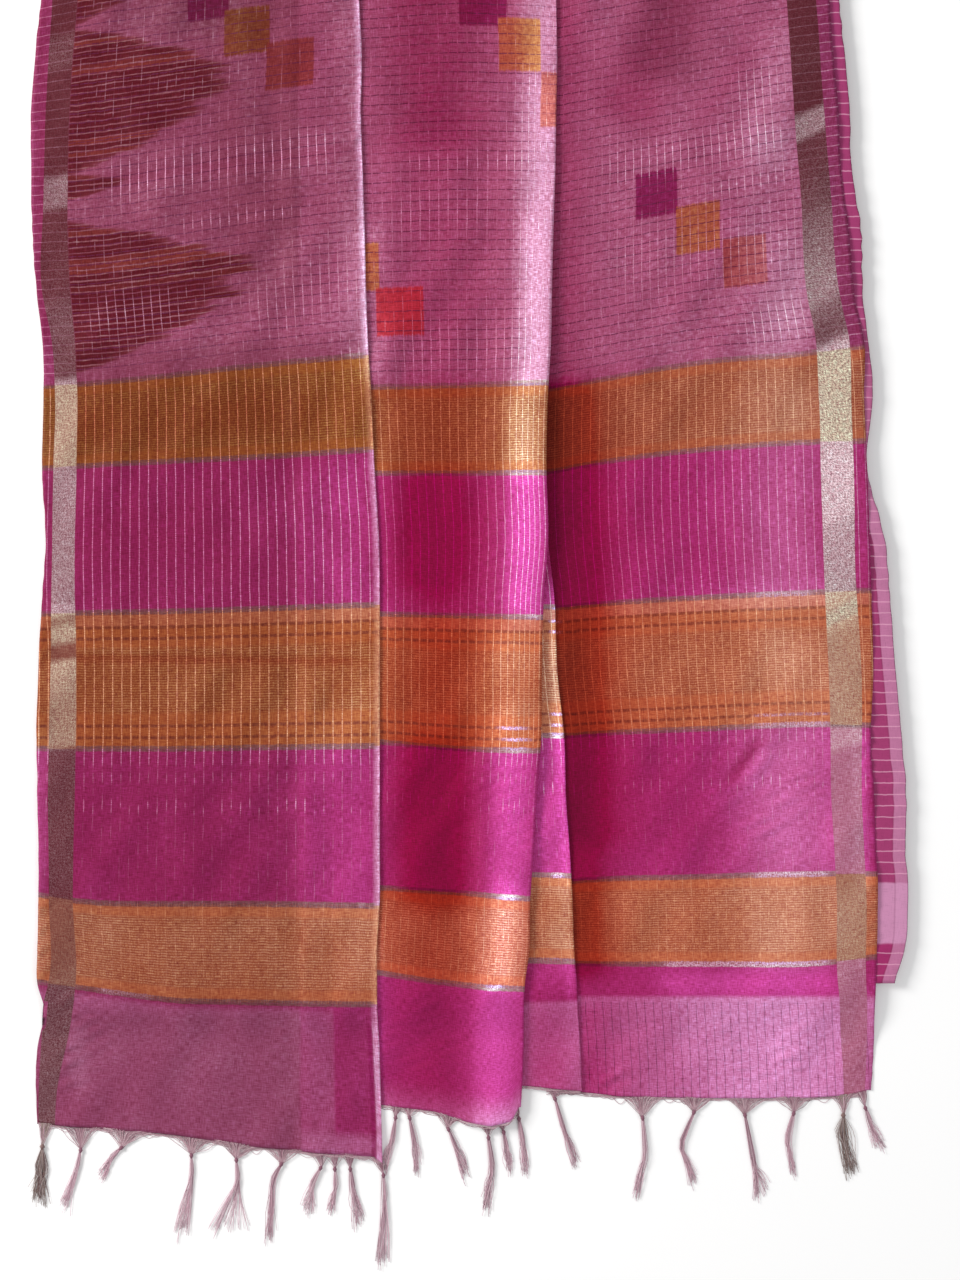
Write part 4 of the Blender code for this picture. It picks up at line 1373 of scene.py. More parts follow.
def shell(outer, normals, thickness):
    """A thin closed shell: the outer skin, the inner one a thickness below it, and quads round the rim."""
    rows, columns = outer.shape[:2]
    count = rows * columns
    top = grid_faces(rows, columns)[:, ::-1]
    index = np.arange(count).reshape(rows, columns)
    rim = np.concatenate([index[0, :], index[1:, -1], index[-1, -2::-1], index[-2:0:-1, 0]])
    after = np.roll(rim, -1)
    sides = np.stack([rim, after, after + count, rim + count], axis=-1)
    vertices = np.concatenate([outer.reshape(-1, 3), (outer - normals * thickness).reshape(-1, 3)])
    return vertices, np.concatenate([top, top[:, ::-1] + count, sides])


def top_turn(flat, lift, row_step):
    """A panel's rows round the top fold, as half a circle from underneath, and on to the photograph's top
    edge: places, normals and how far down the cloth each point is woven. flat is its section."""
    places, normals, along = [], [], []
    axis = bend_axis(flat[:, 0])
    radius = flat[:, 1] + lift - axis
    for angle in np.linspace(math.pi, 0.0, TURN_ROWS):
        back, up = math.sin(angle), math.cos(angle)
        places.append(np.stack([flat[:, 0], -TOP_FOLD - radius * back, axis + radius * up], axis=-1))
        normals.append(np.stack([flat[:, 2], -flat[:, 3] * back, flat[:, 3] * up], axis=-1))
        along.append(np.full(len(flat), -TOP_FOLD - TURN_RADIUS * angle))
    for down in np.linspace(-TOP_FOLD, 0.0, round(TOP_FOLD / row_step), endpoint=False)[1:]:
        places.append(np.stack([flat[:, 0], np.full(len(flat), down), flat[:, 1] + lift], axis=-1))
        normals.append(np.stack([flat[:, 2], np.zeros(len(flat)), flat[:, 3]], axis=-1))
        along.append(np.full(len(flat), down))
    return places, normals, along


def panel_grid(panel, section, downs, step, row_step):
    """A panel's middle surface as rows round the top fold and down to the hem: places, normals and how far
    down the cloth each point is woven."""
    front = panel != "under"
    start, end = downs
    places, normals, along = [], [], []
    if start == 0:
        places, normals, along = top_turn(section(np.zeros(1), step)[0], STACK if front else 0.0, row_step)
    count = round((end - start) / row_step)
    levels = np.linspace(start, end, count + 1)
    shares = np.zeros(count + 1)
    if front:
        hem_rows = round(HEM_REACH / row_step)
        shares = np.concatenate([shares, np.arange(1, hem_rows + 1) / hem_rows])
        first = hem(panel, section(np.array([end]), step)[0, 0, 0])
        levels = np.concatenate([levels, end + shares[count + 1:] * (first - end)])
    rows = section(levels, step)
    across = rows[..., 0]
    reach = hem(panel, across) if front else np.full(across.shape, end)
    base = np.minimum(levels, end)[:, None]
    down = base + shares[:, None] * (reach - base)
    rest = ground(down) + hills(across, down, SWELLS) if front else 0.0
    places = np.concatenate([np.array(places).reshape(-1, across.shape[1], 3),
                             np.stack([across, down, rows[..., 1] + rest], axis=-1)])
    normals = np.concatenate([np.array(normals).reshape(-1, across.shape[1], 3),
                              np.stack([rows[..., 2], np.zeros_like(across), rows[..., 3]], axis=-1)])
    along = np.concatenate([np.array(along).reshape(-1, across.shape[1]), down])
    return places, normals, along


def add_panel(name, panel, section, downs, node, material, sizes):
    """One stretch of cloth as a thin shell on its solid's form, with its creases and its own values."""
    places, normals, along = panel_grid(panel, section, downs, sizes.step, sizes.row_step)
    across = places[..., 0]
    facing = np.clip(normals[..., 2], 0.0, 1.0)
    rim = np.full(across.shape, RIM_WIDTH)
    if panel == "left":
        rim = np.clip(edge("fold", along) - across, -4, RIM_WIDTH)
    if panel != "under":
        calm = smooth(along, -TOP_FOLD, -TOP_FOLD + 40) * facing ** 2
        bumps = relief(across, along) * calm
        up, border = woven_up(panel, across, along), border_place(panel, across, along)
    else:
        wander = waves(across, along, CRINKLE_SEED + 5, 8, 60.0, 26.0)
        right = edge("right", along)
        bumps = 0.25 * wander * smooth(across, right - 4, right + 10) * facing
        up, border = UNDER_FOOT - along, np.clip((edge("under", along) - across) / UNDER_BORDER, 0.0, 3.0)
    outer = places + normals * (SKIN + bumps[..., None])
    vertices, faces = shell(to_world(outer), normals * (1.0, -1.0, 1.0), sizes.thickness)
    values = {
        "woven_up": up,
        "warp_lines": warp_lines(panel, across, along),
        "border": border,
        "veil": veil(panel, across, along),
        "tone": strokes(across, along, TONES[panel]),
        "sheen_and_shade": strokes(across, along, SHEEN_AND_SHADE_STROKES.get(panel, ())),
        "rim": rim,
        "flash": np.clip(strokes(across, along, FLASHES, 30.0), 0, 1.4),
        "shine": border_shine(panel, across, along),
    }
    values = {label: np.concatenate([numbers.ravel(), numbers.ravel()]) for label, numbers in values.items()}
    item = add_mesh(name, vertices, faces, material, values)
    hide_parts(node)
    return item


# Each tassel: its panel, where it hangs and how wide a stretch of hem it gathers, then its knot, its bend
# and its two outer tips as across and down, and whether it gathers the zari border
TASSEL_COLUMNS = ("panel", "root", "gather", "knot_across", "knot_down", "bend_across", "bend_down",
                  "first_across", "first_down", "last_across", "last_down", "zari")
TASSELS = (
    ("left", -471, 20, -474, 1274, -476, 1300, -487, 1332, -467, 1337, True),
    ("left", -433, 46, -431, 1278, -435, 1298, -453, 1342, -446, 1339, False),
    ("left", -377, 60, -385, 1276, -397, 1289, -412, 1308, -405, 1310, False),
    ("left", -308, 60, -308, 1284, -308, 1309, -328, 1368, -311, 1368, False),
    ("left", -258, 50, -258, 1289, -256, 1313, -291, 1366, -241, 1363, False),
    ("left", -208, 46, -207, 1294, -217, 1314, -224, 1376, -217, 1373, False),
    ("left", -167, 26, -163, 1298, -173, 1318, -186, 1342, -171, 1350, False),
    ("left", -149, 18, -148, 1299, -148, 1320, -156, 1346, -149, 1346, False),
    ("left", -132, 18, -131, 1299, -129, 1322, -127, 1362, -115, 1353, False),
    ("left", -98, 26, -94, 1306, -92, 1333, -102, 1404, -88, 1402, False),
    ("middle", -80, 14, -80, 1242, -84, 1267, -95, 1300, -89, 1300, False),
    ("middle", -65, 24, -65, 1242, -60, 1267, -59, 1301, -53, 1299, False),
    ("middle", -24, 36, -22, 1255, -14, 1276, -5, 1307, 1, 1304, False),
    ("middle", 20, 24, 23, 1264, 27, 1300, 17, 1339, 27, 1349, False),
    ("middle", 37, 14, 40, 1258, 43, 1278, 44, 1300, 50, 1299, False),
    ("middle", 54, 6, 57, 1243, 61, 1269, 61, 1301, 67, 1300, False),
    ("strip", 98, 34, 97, 1221, 107, 1256, 117, 1297, 124, 1293, False),
    ("right", 194, 54, 195, 1242, 198, 1284, 186, 1329, 193, 1329, False),
    ("right", 252, 48, 253, 1236, 238, 1273, 248, 1316, 255, 1312, False),
    ("right", 309, 54, 309, 1239, 319, 1294, 319, 1331, 336, 1323, False),
    ("right", 365, 50, 364, 1237, 357, 1267, 359, 1304, 366, 1304, False),
    ("right", 418, 26, 419, 1239, 418, 1260, 422, 1306, 433, 1302, True),
    ("right", 440, 10, 443, 1231, 448, 1249, 453, 1270, 465, 1278, False),
)
KNOT_HEIGHT = 1.9
KNOT_LENGTH = 4.6
KNOT_RADIUS = 2.1
KNOT_RINGS = 9
KNOT_SIDES = 10
KNOT_FLATNESS = 0.8
FLOOR_CLEARANCE = 0.12

# Threads: how many more the corner tassels have, how far strands part, scatter and curl, and how they taper
THREAD_SIDES = 4
THREAD_TAPER = 0.72
ZARI_STRANDS = 1.7
ZARI_SPREAD = 4.2
PLAIN_SPREAD = 1.5
TIP_SCATTER = (1.8, 5.0)
CURL = 1.6
FAN_POINTS = 10
SLACK_THREADS = 9
TASSEL_SEED = 40
NET_SEED = 90


def hem_height(panel, across):
    """Height of the cloth's middle along a panel's hem."""
    down = hem(panel, across)
    number = 3 if panel == "strip" else 1
    raised = np.zeros(np.shape(across)) + layer(number)
    if panel == "left":
        fold = edge("fold", down)
        raised = raised + 2 * PITCH * smooth(across, fold - RAMP[0], fold - RAMP[1])
    if panel == "middle":
        roll, crown = edge("roll", down), edge("crown", down)
        raised = raised + (crown - layer(1)) * smooth(across, roll - ROLL_START, roll - ROLL_CREST)
    return raised + ground(down) + hills(across, down, SWELLS)


def through(stops, count):
    """Smooth paths through stops: a Catmull-Rom curve, each stretch of it a cubic of the stops on both
    sides. stops has one row of stops for each path."""
    before = 2 * stops[:, :1] - stops[:, 1:2]
    after = 2 * stops[:, -1:] - stops[:, -2:-1]
    ends = np.concatenate([before, stops, after], axis=1)
    place = np.linspace(0, stops.shape[1] - 1, count)
    index = np.clip(place.astype(int), 0, stops.shape[1] - 2)
    share = (place - index)[None, :, None]
    a, b, c, d = (ends[:, index + shift] for shift in range(4))
    return b + 0.5 * share * (c - a + share * (2 * a - 5 * b + 4 * c - d + share * (3 * (b - c) + d - a)))


def tubes(paths, radii, sides):
    """Closed tubes along paths: rings square to each path, joined by quads and capped by strips of quads.
    Gives the vertices, the faces and how far along its tube each vertex is."""
    count, stops = paths.shape[:2]
    heading = np.gradient(paths, axis=1)
    heading /= np.linalg.norm(heading, axis=-1, keepdims=True) + 1e-9
    aside = np.cross(heading, (0.0, 0.0, 1.0))
    aside /= np.linalg.norm(aside, axis=-1, keepdims=True) + 1e-9
    above = np.cross(aside, heading)
    angle = 2 * math.pi * np.arange(sides) / sides
    ring = aside[:, :, None] * np.cos(angle)[:, None] + above[:, :, None] * np.sin(angle)[:, None]
    vertices = paths[:, :, None] + ring * radii[..., None, None]
    index = np.arange(count * stops * sides).reshape(count, stops, sides)
    after = np.roll(index, -1, axis=2)
    walls = np.stack([index[:, :-1], after[:, :-1], after[:, 1:], index[:, 1:]], axis=-1).reshape(-1, 4)
    half = np.arange(sides // 2 - 1)
    corners = np.stack([half, half + 1, sides - 2 - half, sides - 1 - half], axis=-1)
    first = index[:, 0][:, corners].reshape(-1, 4)[:, ::-1]
    last = index[:, -1][:, corners].reshape(-1, 4)
    along = np.broadcast_to(np.linspace(0, 1, stops)[None, :, None], (count, stops, sides))
    return vertices.reshape(-1, 3), np.concatenate([walls, first, last]), along.ravel()


def joined(parts):
    """Several meshes as one: their vertices and faces in one list, and their values one after another."""
    vertices = np.concatenate([part[0] for part in parts])
    starts = np.cumsum([0] + [len(part[0]) for part in parts[:-1]])
    faces = np.concatenate([part[1] + start for part, start in zip(parts, starts)])
    values = {label: np.concatenate([part[2][label] for part in parts]) for label in parts[0][2]}
    return vertices, faces, values


def bundle(stops, radii, sides, count, random):
    """Tubes along smooth paths, with how far along each point is and a random number for each strand."""
    paths = through(stops, count)
    paths[..., 2] = np.maximum(paths[..., 2], radii.max() + FLOOR_CLEARANCE)
    vertices, faces, along = tubes(paths, radii, sides)
    strand = np.repeat(random.uniform(0, 1, len(paths)), count * sides)
    return to_world(vertices), faces, {"along": along, "strand": strand}


def at_height(places, heights):
    """Stops for threads: places across and down, one a thread, with their heights."""
    heights = np.broadcast_to(heights, len(places))
    return np.concatenate([places, heights[:, None]], axis=1)


def knot_part(start, heading, zari):
    """A knot: a short fat tube along its heading, with a turn of thread round it, pressed a little flat."""
    path = np.stack([start + heading * KNOT_LENGTH * share for share in np.linspace(-0.25, 1.15, KNOT_RINGS)])
    middle = KNOT_HEIGHT + 0.2
    path = np.concatenate([path, np.full((KNOT_RINGS, 1), middle)], axis=1)[None]
    swell = np.sin(np.linspace(0.12, math.pi - 0.12, KNOT_RINGS)) ** 0.6
    swell = swell * (1.0 + 0.12 * np.cos(np.linspace(0, 4 * math.pi, KNOT_RINGS)))
    wide = 1.25 if zari else 1.0
    vertices, faces, along = tubes(path, KNOT_RADIUS * wide * swell[None], KNOT_SIDES)
    vertices[:, 2] = np.maximum(middle + (vertices[:, 2] - middle) * KNOT_FLATNESS, FLOOR_CLEARANCE)
    return to_world(vertices), faces, {"along": along * 0.0, "strand": np.full(len(vertices), 0.85)}


def tassel_parts(row, number, sizes):
    """A tassel: threads from the hem into a knot, the knot, and loose strands that follow the bend and part
    towards their tips, each a little longer or shorter and waved by a soft curl."""
    thread = dict(zip(TASSEL_COLUMNS, row))
    random = np.random.default_rng(TASSEL_SEED + number)
    strands = round(sizes.strands * (ZARI_STRANDS if thread["zari"] else 1.0))
    spots = {stop: np.array([thread[f"{stop}_across"], thread[f"{stop}_down"]], float)
             for stop in ("knot", "bend", "first", "last")}
    heading = (spots["bend"] - spots["knot"]) / np.linalg.norm(spots["bend"] - spots["knot"])
    aside = np.array([heading[1], -heading[0]])
    spread = random.normal(0, 1, (strands, 1))
    lift = random.uniform(0, 1, strands)
    roots = thread["root"] + random.uniform(-0.5, 0.5, strands) * min(thread["gather"], 12)
    share = random.uniform(0, 1, (strands, 1))
    tips = spots["first"] + (spots["last"] - spots["first"]) * share
    tips = tips + random.normal(0, 1, (strands, 2)) * TIP_SCATTER
    bend = spots["bend"] + aside * spread * (ZARI_SPREAD if thread["zari"] else PLAIN_SPREAD)
    middle = (bend + tips) / 2 + aside * random.normal(0, CURL, (strands, 1))
    foot = spots["knot"] + heading * KNOT_LENGTH
    neck = spots["knot"] - heading * 1.0
    hems = np.stack([roots, hem(thread["panel"], roots)], axis=-1)
    height = hem_height(thread["panel"], roots)
    stops = np.stack([
        at_height(hems - (0, 1.5), height),
        at_height((hems + neck) / 2 + aside * spread * 0.6, (height + KNOT_HEIGHT) / 2),
        at_height(neck + aside * spread * 0.35, KNOT_HEIGHT + (lift - 0.5) * 1.2),
        at_height(foot + aside * spread * 0.7, KNOT_HEIGHT * 0.7 + lift * 1.2),
        at_height(bend, 0.5 + lift * 2.2),
        at_height(middle, 0.45 + lift * 1.5),
        at_height(tips, 0.4 + lift * 0.8),
    ], axis=1)
    count = sizes.strand_points
    taper = np.linspace(1.0, THREAD_TAPER, count)[None, :]
    radii = sizes.thread * random.uniform(0.8, 1.2, (strands, 1)) * taper
    strand_part = bundle(stops, radii, THREAD_SIDES, count, random)
    return joined([strand_part, knot_part(spots["knot"], heading, thread["zari"])])


def net_parts(panel, sizes):
    """The unwoven threads below a hem: fans that run from the hem down into each knot, lowest in the middle,
    and a few slack threads along the hem."""
    random = np.random.default_rng(NET_SEED + len(panel))
    parts = []
    first, last = HEMS[panel][0][0], HEMS[panel][-1][0]
    for row in TASSELS:
        thread = dict(zip(TASSEL_COLUMNS, row))
        if thread["panel"] != panel:
            continue
        count = max(6, round(thread["gather"] * 0.9))
        roots = thread["root"] + np.linspace(-0.5, 0.5, count) * thread["gather"] * 1.05
        roots = np.clip(roots + random.normal(0, 1.0, count), first + 0.5, last - 0.5)
        knot = np.array([thread["knot_across"], thread["knot_down"] + 0.6])
        start = np.stack([roots, hem(panel, roots) - 1.5], axis=-1)
        height = hem_height(panel, roots)
        pull = random.uniform(0.15, 0.55, (count, 1))
        along_first = random.uniform(0.35, 0.75, (count, 1))
        control = start + (knot - start) * np.concatenate([along_first, pull], axis=1)
        end = knot + random.normal(0, 0.7, (count, 2))
        slack = random.normal(0, 0.8, (count, 2))
        stops = np.stack([
            at_height(start, height),
            at_height((start + control) / 2 + slack * 0.5, height * 0.75 + KNOT_HEIGHT * 0.25),
            at_height(control + slack, height * 0.4 + KNOT_HEIGHT * 0.6),
            at_height((control + end) / 2 + slack * 0.4, KNOT_HEIGHT),
            at_height(end, KNOT_HEIGHT + random.uniform(-0.6, 0.6, count)),
        ], axis=1)
        radii = np.full((count, FAN_POINTS), sizes.net_thread)
        parts.append(bundle(stops, radii, THREAD_SIDES, FAN_POINTS, random))
    width = last - first - 4
    stops_along = max(6, round(width / 9))
    places = first + 2 + np.linspace(0, 1, stops_along) * width
    for number in range(SLACK_THREADS):
        gap = random.uniform(0.2, 1.0) + np.abs(random.normal(0, 0.5 + number * 0.28, stops_along))
        height = hem_height(panel, places) - gap * 0.12
        line = np.stack([places, hem(panel, places) + gap, height], axis=-1)[None]
        count = stops_along * 4
        radii = np.full((1, count), sizes.net_thread)
        parts.append(bundle(line, radii, THREAD_SIDES, count, random))
    return joined(parts)


# The hidden layers: how far in they lie, how many edges show, how deep their grooves are, and their foot
LAYERS = 4
STACK_INSET = 6.0
GROOVE = 3.2
STACK_FOOT = 1088.0
STACK_RINGS = 190
FOOT_ROUND = 5.0
RECESS_STEP = (134.0, 137.0)


def stack_ring(down, low, high, step):
    """One section of the hidden layers: over the top, down the right side, back underneath and up the left.
    Each side bulges once a layer, as the root of the sine of the height, and wanders a little."""
    left = float(edge("left", max(down, 0.0))) + STACK_INSET
    right = float(edge("under", max(down, 0.0))) - STACK_INSET
    share = np.linspace(0, 1, 29)[1:-1]
    number = np.floor(share * LAYERS)
    bulge = np.abs(np.sin(math.pi * LAYERS * share)) ** 0.55 * GROOVE - GROOVE
    out = bulge + 1.1 * np.sin(down / 90 + number * 2.1) + 0.5 * np.sin(down / 31 + number * 1.3)
    back = bulge + 1.1 * np.sin(down / 105 + number * 1.7) + 0.5 * np.sin(down / 27 + number * 2.9)
    inner = np.linspace(left + 3, right - 3, columns_for(880, step * 3))
    inner = np.sort(np.concatenate([inner, RECESS_STEP]))
    top = np.stack([inner, high(inner)], axis=-1)
    base = np.stack([inner[::-1], low(inner[::-1])], axis=-1)
    side_high, side_low = high(np.array([right, left])), low(np.array([right, left]))
    right_side = np.stack([right + out, side_high[0] + (side_low[0] - side_high[0]) * share], axis=-1)
    left_side = np.stack([left - back, side_low[1] + (side_high[1] - side_low[1]) * share], axis=-1)
    return np.concatenate([top, right_side, base, left_side])


def stack_top(across):
    """Top of the hidden layers, with a recess on the right where the stretch behind lies flush."""
    return np.where(across <= (RECESS_STEP[0] + RECESS_STEP[1]) / 2, STACK, STACK - RECESS)


def folded_mesh(sizes):
    """The hidden layers as one rounded solid: a nose inside the top fold, the body and a rounded foot, as
    rings from the nose to the foot joined by quads."""
    rings = []
    nose = STACK - RECESS
    for angle in np.radians(np.linspace(82, 0, 7)):
        half = math.cos(angle)
        ring = stack_ring(0.0, lambda x: bend_axis(x) - (nose - bend_axis(x)) * half,
                          lambda x: bend_axis(x) + (nose - bend_axis(x)) * half, sizes.step)
        reach = (nose - bend_axis(ring[:, 0])) * math.sin(angle)
        rings.append(np.stack([ring[:, 0], -TOP_FOLD + 0.1 - reach, ring[:, 1]], axis=-1))
    start = STACK_FOOT - FOOT_ROUND
    for down in (-TOP_FOLD + 0.6, *np.linspace(-80, start, STACK_RINGS)):
        ring = stack_ring(down, lambda x: x * 0.0, stack_top, sizes.step)
        rings.append(np.stack([ring[:, 0], np.full(len(ring), down), ring[:, 1]], axis=-1))
    for angle in np.radians((20, 40, 60, 78)):
        height = STACK / 2 + (ring[:, 1] - STACK / 2) * math.cos(angle) ** 0.5
        height = np.where(ring[:, 1] < STACK / 2, np.minimum(height, STACK / 2), height)
        down = np.full(len(ring), start + FOOT_ROUND * math.sin(angle))
        rings.append(np.stack([ring[:, 0], down, height], axis=-1))
    points = np.stack(rings)
    rows, columns = points.shape[:2]
    index = np.arange(rows * columns).reshape(rows, columns)
    after = np.roll(index, -1, axis=1)
    walls = np.stack([index[:-1], index[1:], after[1:], after[:-1]], axis=-1).reshape(-1, 4)
    half = np.arange(columns // 2 - 1)
    corners = np.stack([half, half + 1, columns - 2 - half, columns - 1 - half], axis=-1)
    faces = np.concatenate([walls, index[0][corners], index[-1][corners][:, ::-1]])
    values = {
        "woven_up": UNDER_FOOT - points[..., 1],
        "warp_lines": points[..., 0] / LINE_PITCH,
        "border": np.full((rows, columns), 3.0),
        # Painted shade on the hidden layers: darker overall, and banded once for each layer
        "tone": -0.35 - 0.2 * np.sin(points[..., 2] / STACK * LAYERS * 2 * math.pi),
    }
    return to_world(points).reshape(-1, 3), faces, {label: value.ravel() for label, value in values.items()}


class SareeColours(bpy.types.PropertyGroup):
    """The threads' and dyes' colours."""

    body_pink: colour_property("Body pink", "Dusty pink ground of the saree", "984868")
    line_pink: colour_property("Line pink", "Silver warp threads where they show on magenta", "D486AE")
    fold_edge: colour_property("Fold edge", "Lit edge of the first fold", "E49AC6")
    ikat_gap: colour_property("Ikat gap", "Pale threads between the streaks of the ikat flames", "B27E84")
    # Painted reflection on the zari border where it crosses the bands
    zari_gold: colour_property("Gold zari", "Zari border where it crosses the bands", "ECD9BE")
    zari_mauve: colour_property("Mauve zari", "Low end of the right zari border", "B05E7E")
    hem_pink: colour_property("Hem pink", "Pale pink ground at the hem", "B4598A")
    magenta: colour_property("Magenta", "Plain ground between the bands", "9C2360")
    selvedge: colour_property("Selvedge", "Magenta strip outside the zari border", "7E2A50")
    orange: colour_property("Orange", "Plain ends of the woven bands", "AC5839")
    orange_deep: colour_property("Deep orange", "Ground of the gold weft fields", "8A3820")
    gold: colour_property("Gold", "Gold weft lines in the bands", "BC785A")
    salmon: colour_property("Salmon", "Stripe at the top of the middle band", "B2604E")
    edge_line: colour_property("Edge line", "Mauve-grey zari lines at the bands' edges", "7C4A50")
    band_line: colour_property("Band line", "Thin dark lines inside the middle band", "7A3428")
    silver: colour_property("Silver", "Silver warp threads on pink and magenta", "DDA0BC")
    silver_gold: colour_property("Silver on gold", "Silver warp threads in the orange bands", "DD9A78")
    dark_thread: colour_property("Dark thread", "Dark weft and warp dashes", "581C3A")
    ikat_maroon: colour_property("Ikat maroon", "Dark streaks of the ikat flames", "5E0A1A")
    ikat_brick: colour_property("Ikat brick", "Brick streaks of the ikat flames", "8A342C")
    square_magenta: colour_property("Square magenta", "First stepped square", "780A42")
    square_ochre: colour_property("Square ochre", "Second stepped square", "9C4A2E")
    square_rust: colour_property("Square rust", "Third stepped square", "8E3234")
    square_red: colour_property("Square red", "Red stepped square", "A82430")
    zari_dull: colour_property("Dull zari", "Zari border in shade", "521C23")
    # Painted reflection on the zari border
    zari_bright: colour_property("Bright zari", "Zari border where it shines", "F0CCD4")
    behind_pink: colour_property("Behind pink", "Ground of the stretches behind", "9C3A6A")
    behind_pale: colour_property("Behind pale", "Pale band of the stretch behind", "C88CB0")
    tassel: colour_property("Tassel", "Tassel threads near their knot", "8C6472")
    tassel_tip: colour_property("Tassel tips", "Tassel threads near their tips", "CDA9B6")
    zari_tassel: colour_property("Zari tassel", "Threads of the corner tassels", "84706A")
    net: colour_property("Net", "Unwoven threads under the hem", "B4939C")


class SareeSizes(bpy.types.PropertyGroup):
    """Sizes of the shells and threads: in millimetres, apart from the thickness."""

    step: FloatProperty(name="Column step", description="Spacing of a panel's columns, in mm",
                        default=4.2, min=2.0)
    row_step: FloatProperty(name="Row step", description="Spacing of a panel's rows, in mm",
                            default=4.4, min=2.0)
    thickness: FloatProperty(name="Thickness", description="Thickness of the cloth, in metres",
                             default=0.0005, min=0.0002, max=0.001, subtype="DISTANCE")
    strands: IntProperty(name="Strands", description="Threads in a tassel", default=30, min=6)
    strand_points: IntProperty(name="Strand points", description="Points along each strand",
                               default=15, min=8)
    thread: FloatProperty(name="Thread", description="Half the width of a tassel thread, in mm",
                          default=0.30)
    net_thread: FloatProperty(name="Net thread", description="Half the width of a hem thread, in mm",
                              default=0.26)


def settings():
    """The user's sizes and colours."""
    return bpy.context.scene.saree_sizes, bpy.context.scene.saree_colours


# The panels of the end piece: their section, their node, their flat size and what they rest on
PANELS = {
    "left": (left_section, "left_panel", (0.444, 1.35), ("folded_layers", "middle_cloth")),
    "middle": (middle_section, "middle_panel", (0.325, 1.33), ("folded_layers",)),
    "strip": (strip_section, "pleat_strip", (0.092, 0.66), ("right_cloth",)),
    "right": (right_section, "right_panel", (0.35, 1.31), ("folded_layers", "under_cloth")),
}


class SAREE_OT_end_piece(bpy.types.Operator):
    """Lays the end piece: four stretches of one cloth in knife pleats"""

    bl_idname = "saree.end_piece"
    bl_label = "End piece"

    def execute(self, context):
        sizes, colours = settings()
        for panel, (section, node, flat, rests_on) in PANELS.items():
            downs = (STRIP_TOP, LAST_SECTION) if panel == "strip" else (0, LAST_SECTION)
            material = cloth_material(panel, colours)
            add_panel(f"{panel}_cloth", panel, section, downs, node, material,
                      sizes)
        return {"FINISHED"}


class SAREE_OT_behind(bpy.types.Operator):
    """Lays the stretch behind the end piece and the hidden folded layers"""

    bl_idname = "saree.behind"
    bl_label = "Stretches behind"

    def execute(self, context):
        sizes, colours = settings()
        material = behind_material("behind_cloth", colours)
        add_panel("under_cloth", "under", under_section, (0, UNDER_FOOT), "under_layer", material,
                  sizes)
        vertices, faces, values = folded_mesh(sizes)
        folded = add_mesh("folded_cloth", vertices, faces, material, values)
        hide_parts("folded_layers")
        return {"FINISHED"}


class SAREE_OT_tassels(bpy.types.Operator):
    """Knots the tassels from the cloth's own warp threads"""

    bl_idname = "saree.tassels"
    bl_label = "Tassels"

    def execute(self, context):
        sizes, colours = settings()
        plain = thread_material("tassel_thread", colours.tassel, colours.tassel_tip)
        corner = thread_material("zari_tassel_thread", colours.zari_tassel, colours.zari_tassel)
        for number, row in enumerate(TASSELS, start=1):
            vertices, faces, values = tassel_parts(row, number, sizes)
            item = add_mesh(f"tassel_threads_{number:02d}", vertices, faces, corner if row[-1] else plain,
                            values)
            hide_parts(f"tassel_{number:02d}")
        return {"FINISHED"}


class SAREE_OT_hem_threads(bpy.types.Operator):
    """Adds the unwoven threads that run from each hem into its knots"""

    bl_idname = "saree.hem_threads"
    bl_label = "Hem threads"

    def execute(self, context):
        sizes, colours = settings()
        material = thread_material("hem_thread", colours.net, colours.net)
        for panel in HEMS:
            vertices, faces, values = net_parts(panel, sizes)
            add_mesh(f"{panel}_hem_threads", vertices, faces, material, values)
        return {"FINISHED"}


# The stage, in metres: the camera's place over the cloth and the frame it takes in, the floor and the sky
VIEW_CENTRE = (0.012, -0.0586)
VIEW_HEIGHT = 2.9
VIEW_LENGTH = 1.4222
CLOTH_TOP = 0.012
FLOOR_HALF = 6.0
FLOOR_LEVEL = -0.0004
FLOOR_COLOUR = (0.93, 0.93, 0.93, 1.0)
SKY_STRENGTH = 0.5

# The lights: name, place, size, power and colour
LIGHTS = (
    ("key", (-3.2, 1.2, 1.9), 1.4, 175.0, (1.0, 0.985, 0.97)),
    ("fill", (1.8, -0.6, 2.6), 2.6, 26.0, (0.97, 0.98, 1.0)),
)


def add_light(name, place, size, energy, colour):
    """A square area light at a place, turned to the middle of the cloth."""
    data = bpy.data.lights.new(name, "AREA")
    data.size = size
    data.energy = energy
    data.color = colour
    light = bpy.data.objects.new(name, data)
    light.location = place
    aim = -light.location
    light.rotation_euler = aim.to_track_quat("-Z", "Y").to_euler()
    bpy.context.scene.collection.objects.link(light)


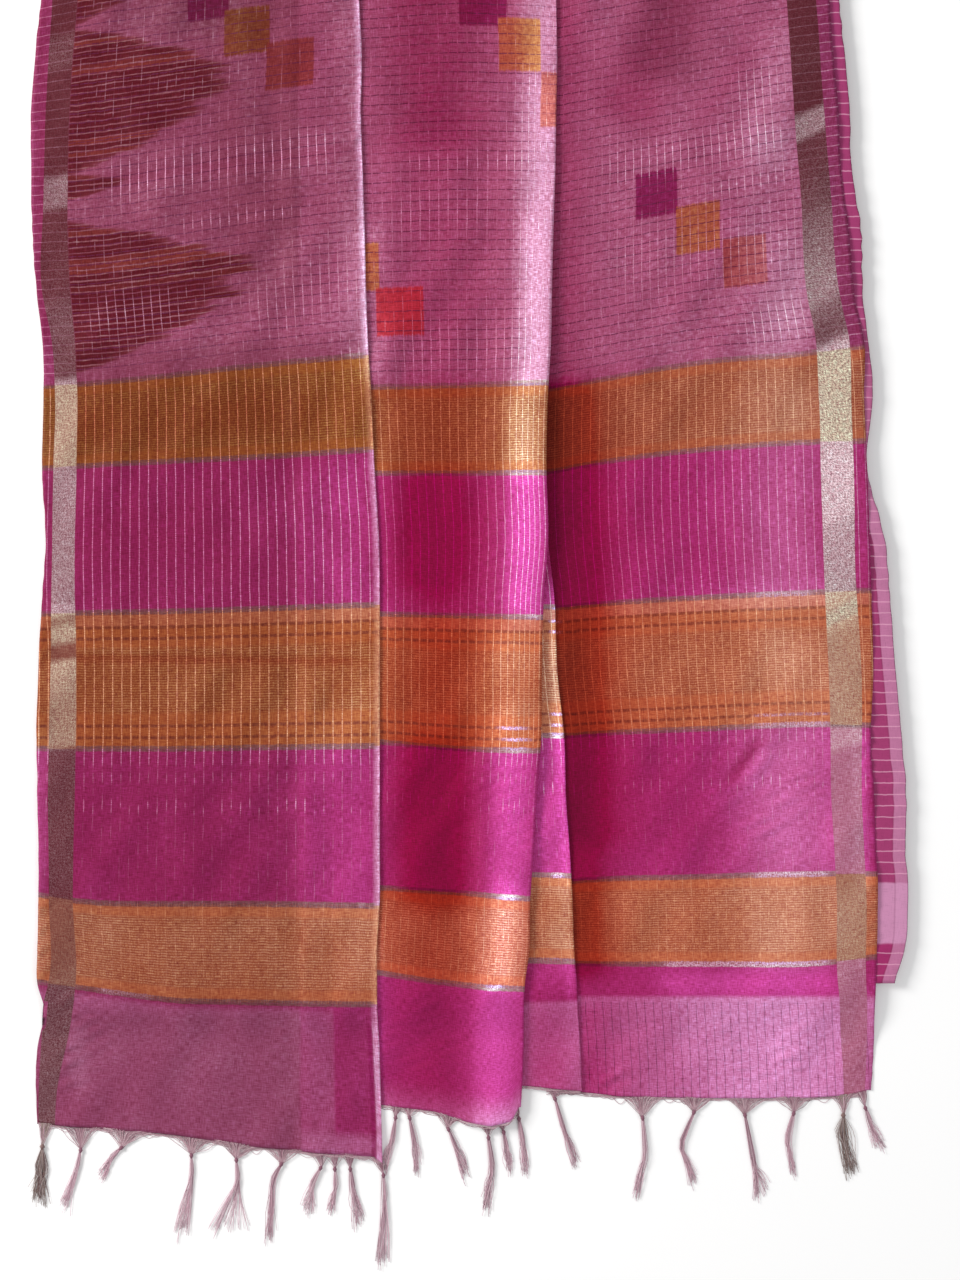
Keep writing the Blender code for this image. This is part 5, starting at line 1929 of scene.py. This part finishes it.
class SAREE_OT_stage(bpy.types.Operator):
    """Sets the pale floor, the soft lights and the camera square over the cloth"""

    bl_idname = "saree.stage"
    bl_label = "Stage"

    def execute(self, context):
        scene = context.scene
        mesh = bpy.data.meshes.new("floor")
        corners = ((-FLOOR_HALF, -FLOOR_HALF), (FLOOR_HALF, -FLOOR_HALF), (FLOOR_HALF, FLOOR_HALF),
                   (-FLOOR_HALF, FLOOR_HALF))
        mesh.from_pydata([(*corner, FLOOR_LEVEL) for corner in corners], [], [(0, 1, 2, 3)])
        material = bpy.data.materials.new("floor")
        material.use_nodes = True
        shader = material.node_tree.nodes["Principled BSDF"]
        shader.inputs["Base Color"].default_value = FLOOR_COLOUR
        shader.inputs["Roughness"].default_value = 0.9
        shader.inputs["Specular IOR Level"].default_value = 0.1
        mesh.materials.append(material)
        floor = bpy.data.objects.new("floor", mesh)
        scene.collection.objects.link(floor)
        for light in LIGHTS:
            add_light(*light)
        world = scene.world or bpy.data.worlds.new("world")
        scene.world = world
        world.use_nodes = True
        background = world.node_tree.nodes["Background"]
        background.inputs["Color"].default_value = (1.0, 1.0, 1.0, 1.0)
        background.inputs["Strength"].default_value = SKY_STRENGTH
        scene.view_settings.view_transform = "Standard"
        data = bpy.data.cameras.new("camera")
        camera = bpy.data.objects.new("camera", data)
        camera.location = (*VIEW_CENTRE, CLOTH_TOP + VIEW_HEIGHT)
        data.lens = data.sensor_width * VIEW_HEIGHT / VIEW_LENGTH
        scene.collection.objects.link(camera)
        scene.camera = camera
        return {"FINISHED"}


OPERATORS = (SAREE_OT_behind, SAREE_OT_end_piece, SAREE_OT_hem_threads, SAREE_OT_tassels, SAREE_OT_stage)


class SAREE_PT_panel(bpy.types.Panel):
    """Lists the saree's pieces in the sidebar"""

    bl_label = "Saree"
    bl_idname = "SAREE_PT_panel"
    bl_space_type = "VIEW_3D"
    bl_region_type = "UI"
    bl_category = "Saree"

    def draw(self, context):
        for operator in OPERATORS:
            self.layout.operator(operator.bl_idname)
        for group in settings():
            for name in group.bl_rna.properties.keys():
                if name not in ("rna_type", "name"):
                    self.layout.prop(group, name)


CLASSES = (SareeColours, SareeSizes, *OPERATORS, SAREE_PT_panel)


def register():
    """Registers the classes and puts the sizes and colours on the scene."""
    for item in CLASSES:
        bpy.utils.register_class(item)
    bpy.types.Scene.saree_colours = PointerProperty(type=SareeColours)
    bpy.types.Scene.saree_sizes = PointerProperty(type=SareeSizes)


def unregister():
    """Takes the sizes, colours and classes away again."""
    del bpy.types.Scene.saree_sizes
    del bpy.types.Scene.saree_colours
    for item in reversed(CLASSES):
        bpy.utils.unregister_class(item)


def main():
    """Makes every piece and the stage."""
    register()
    bpy.ops.saree.behind()
    bpy.ops.saree.end_piece()
    bpy.ops.saree.hem_threads()
    bpy.ops.saree.tassels()
    bpy.ops.saree.stage()


if __name__ == "__main__":
    main()
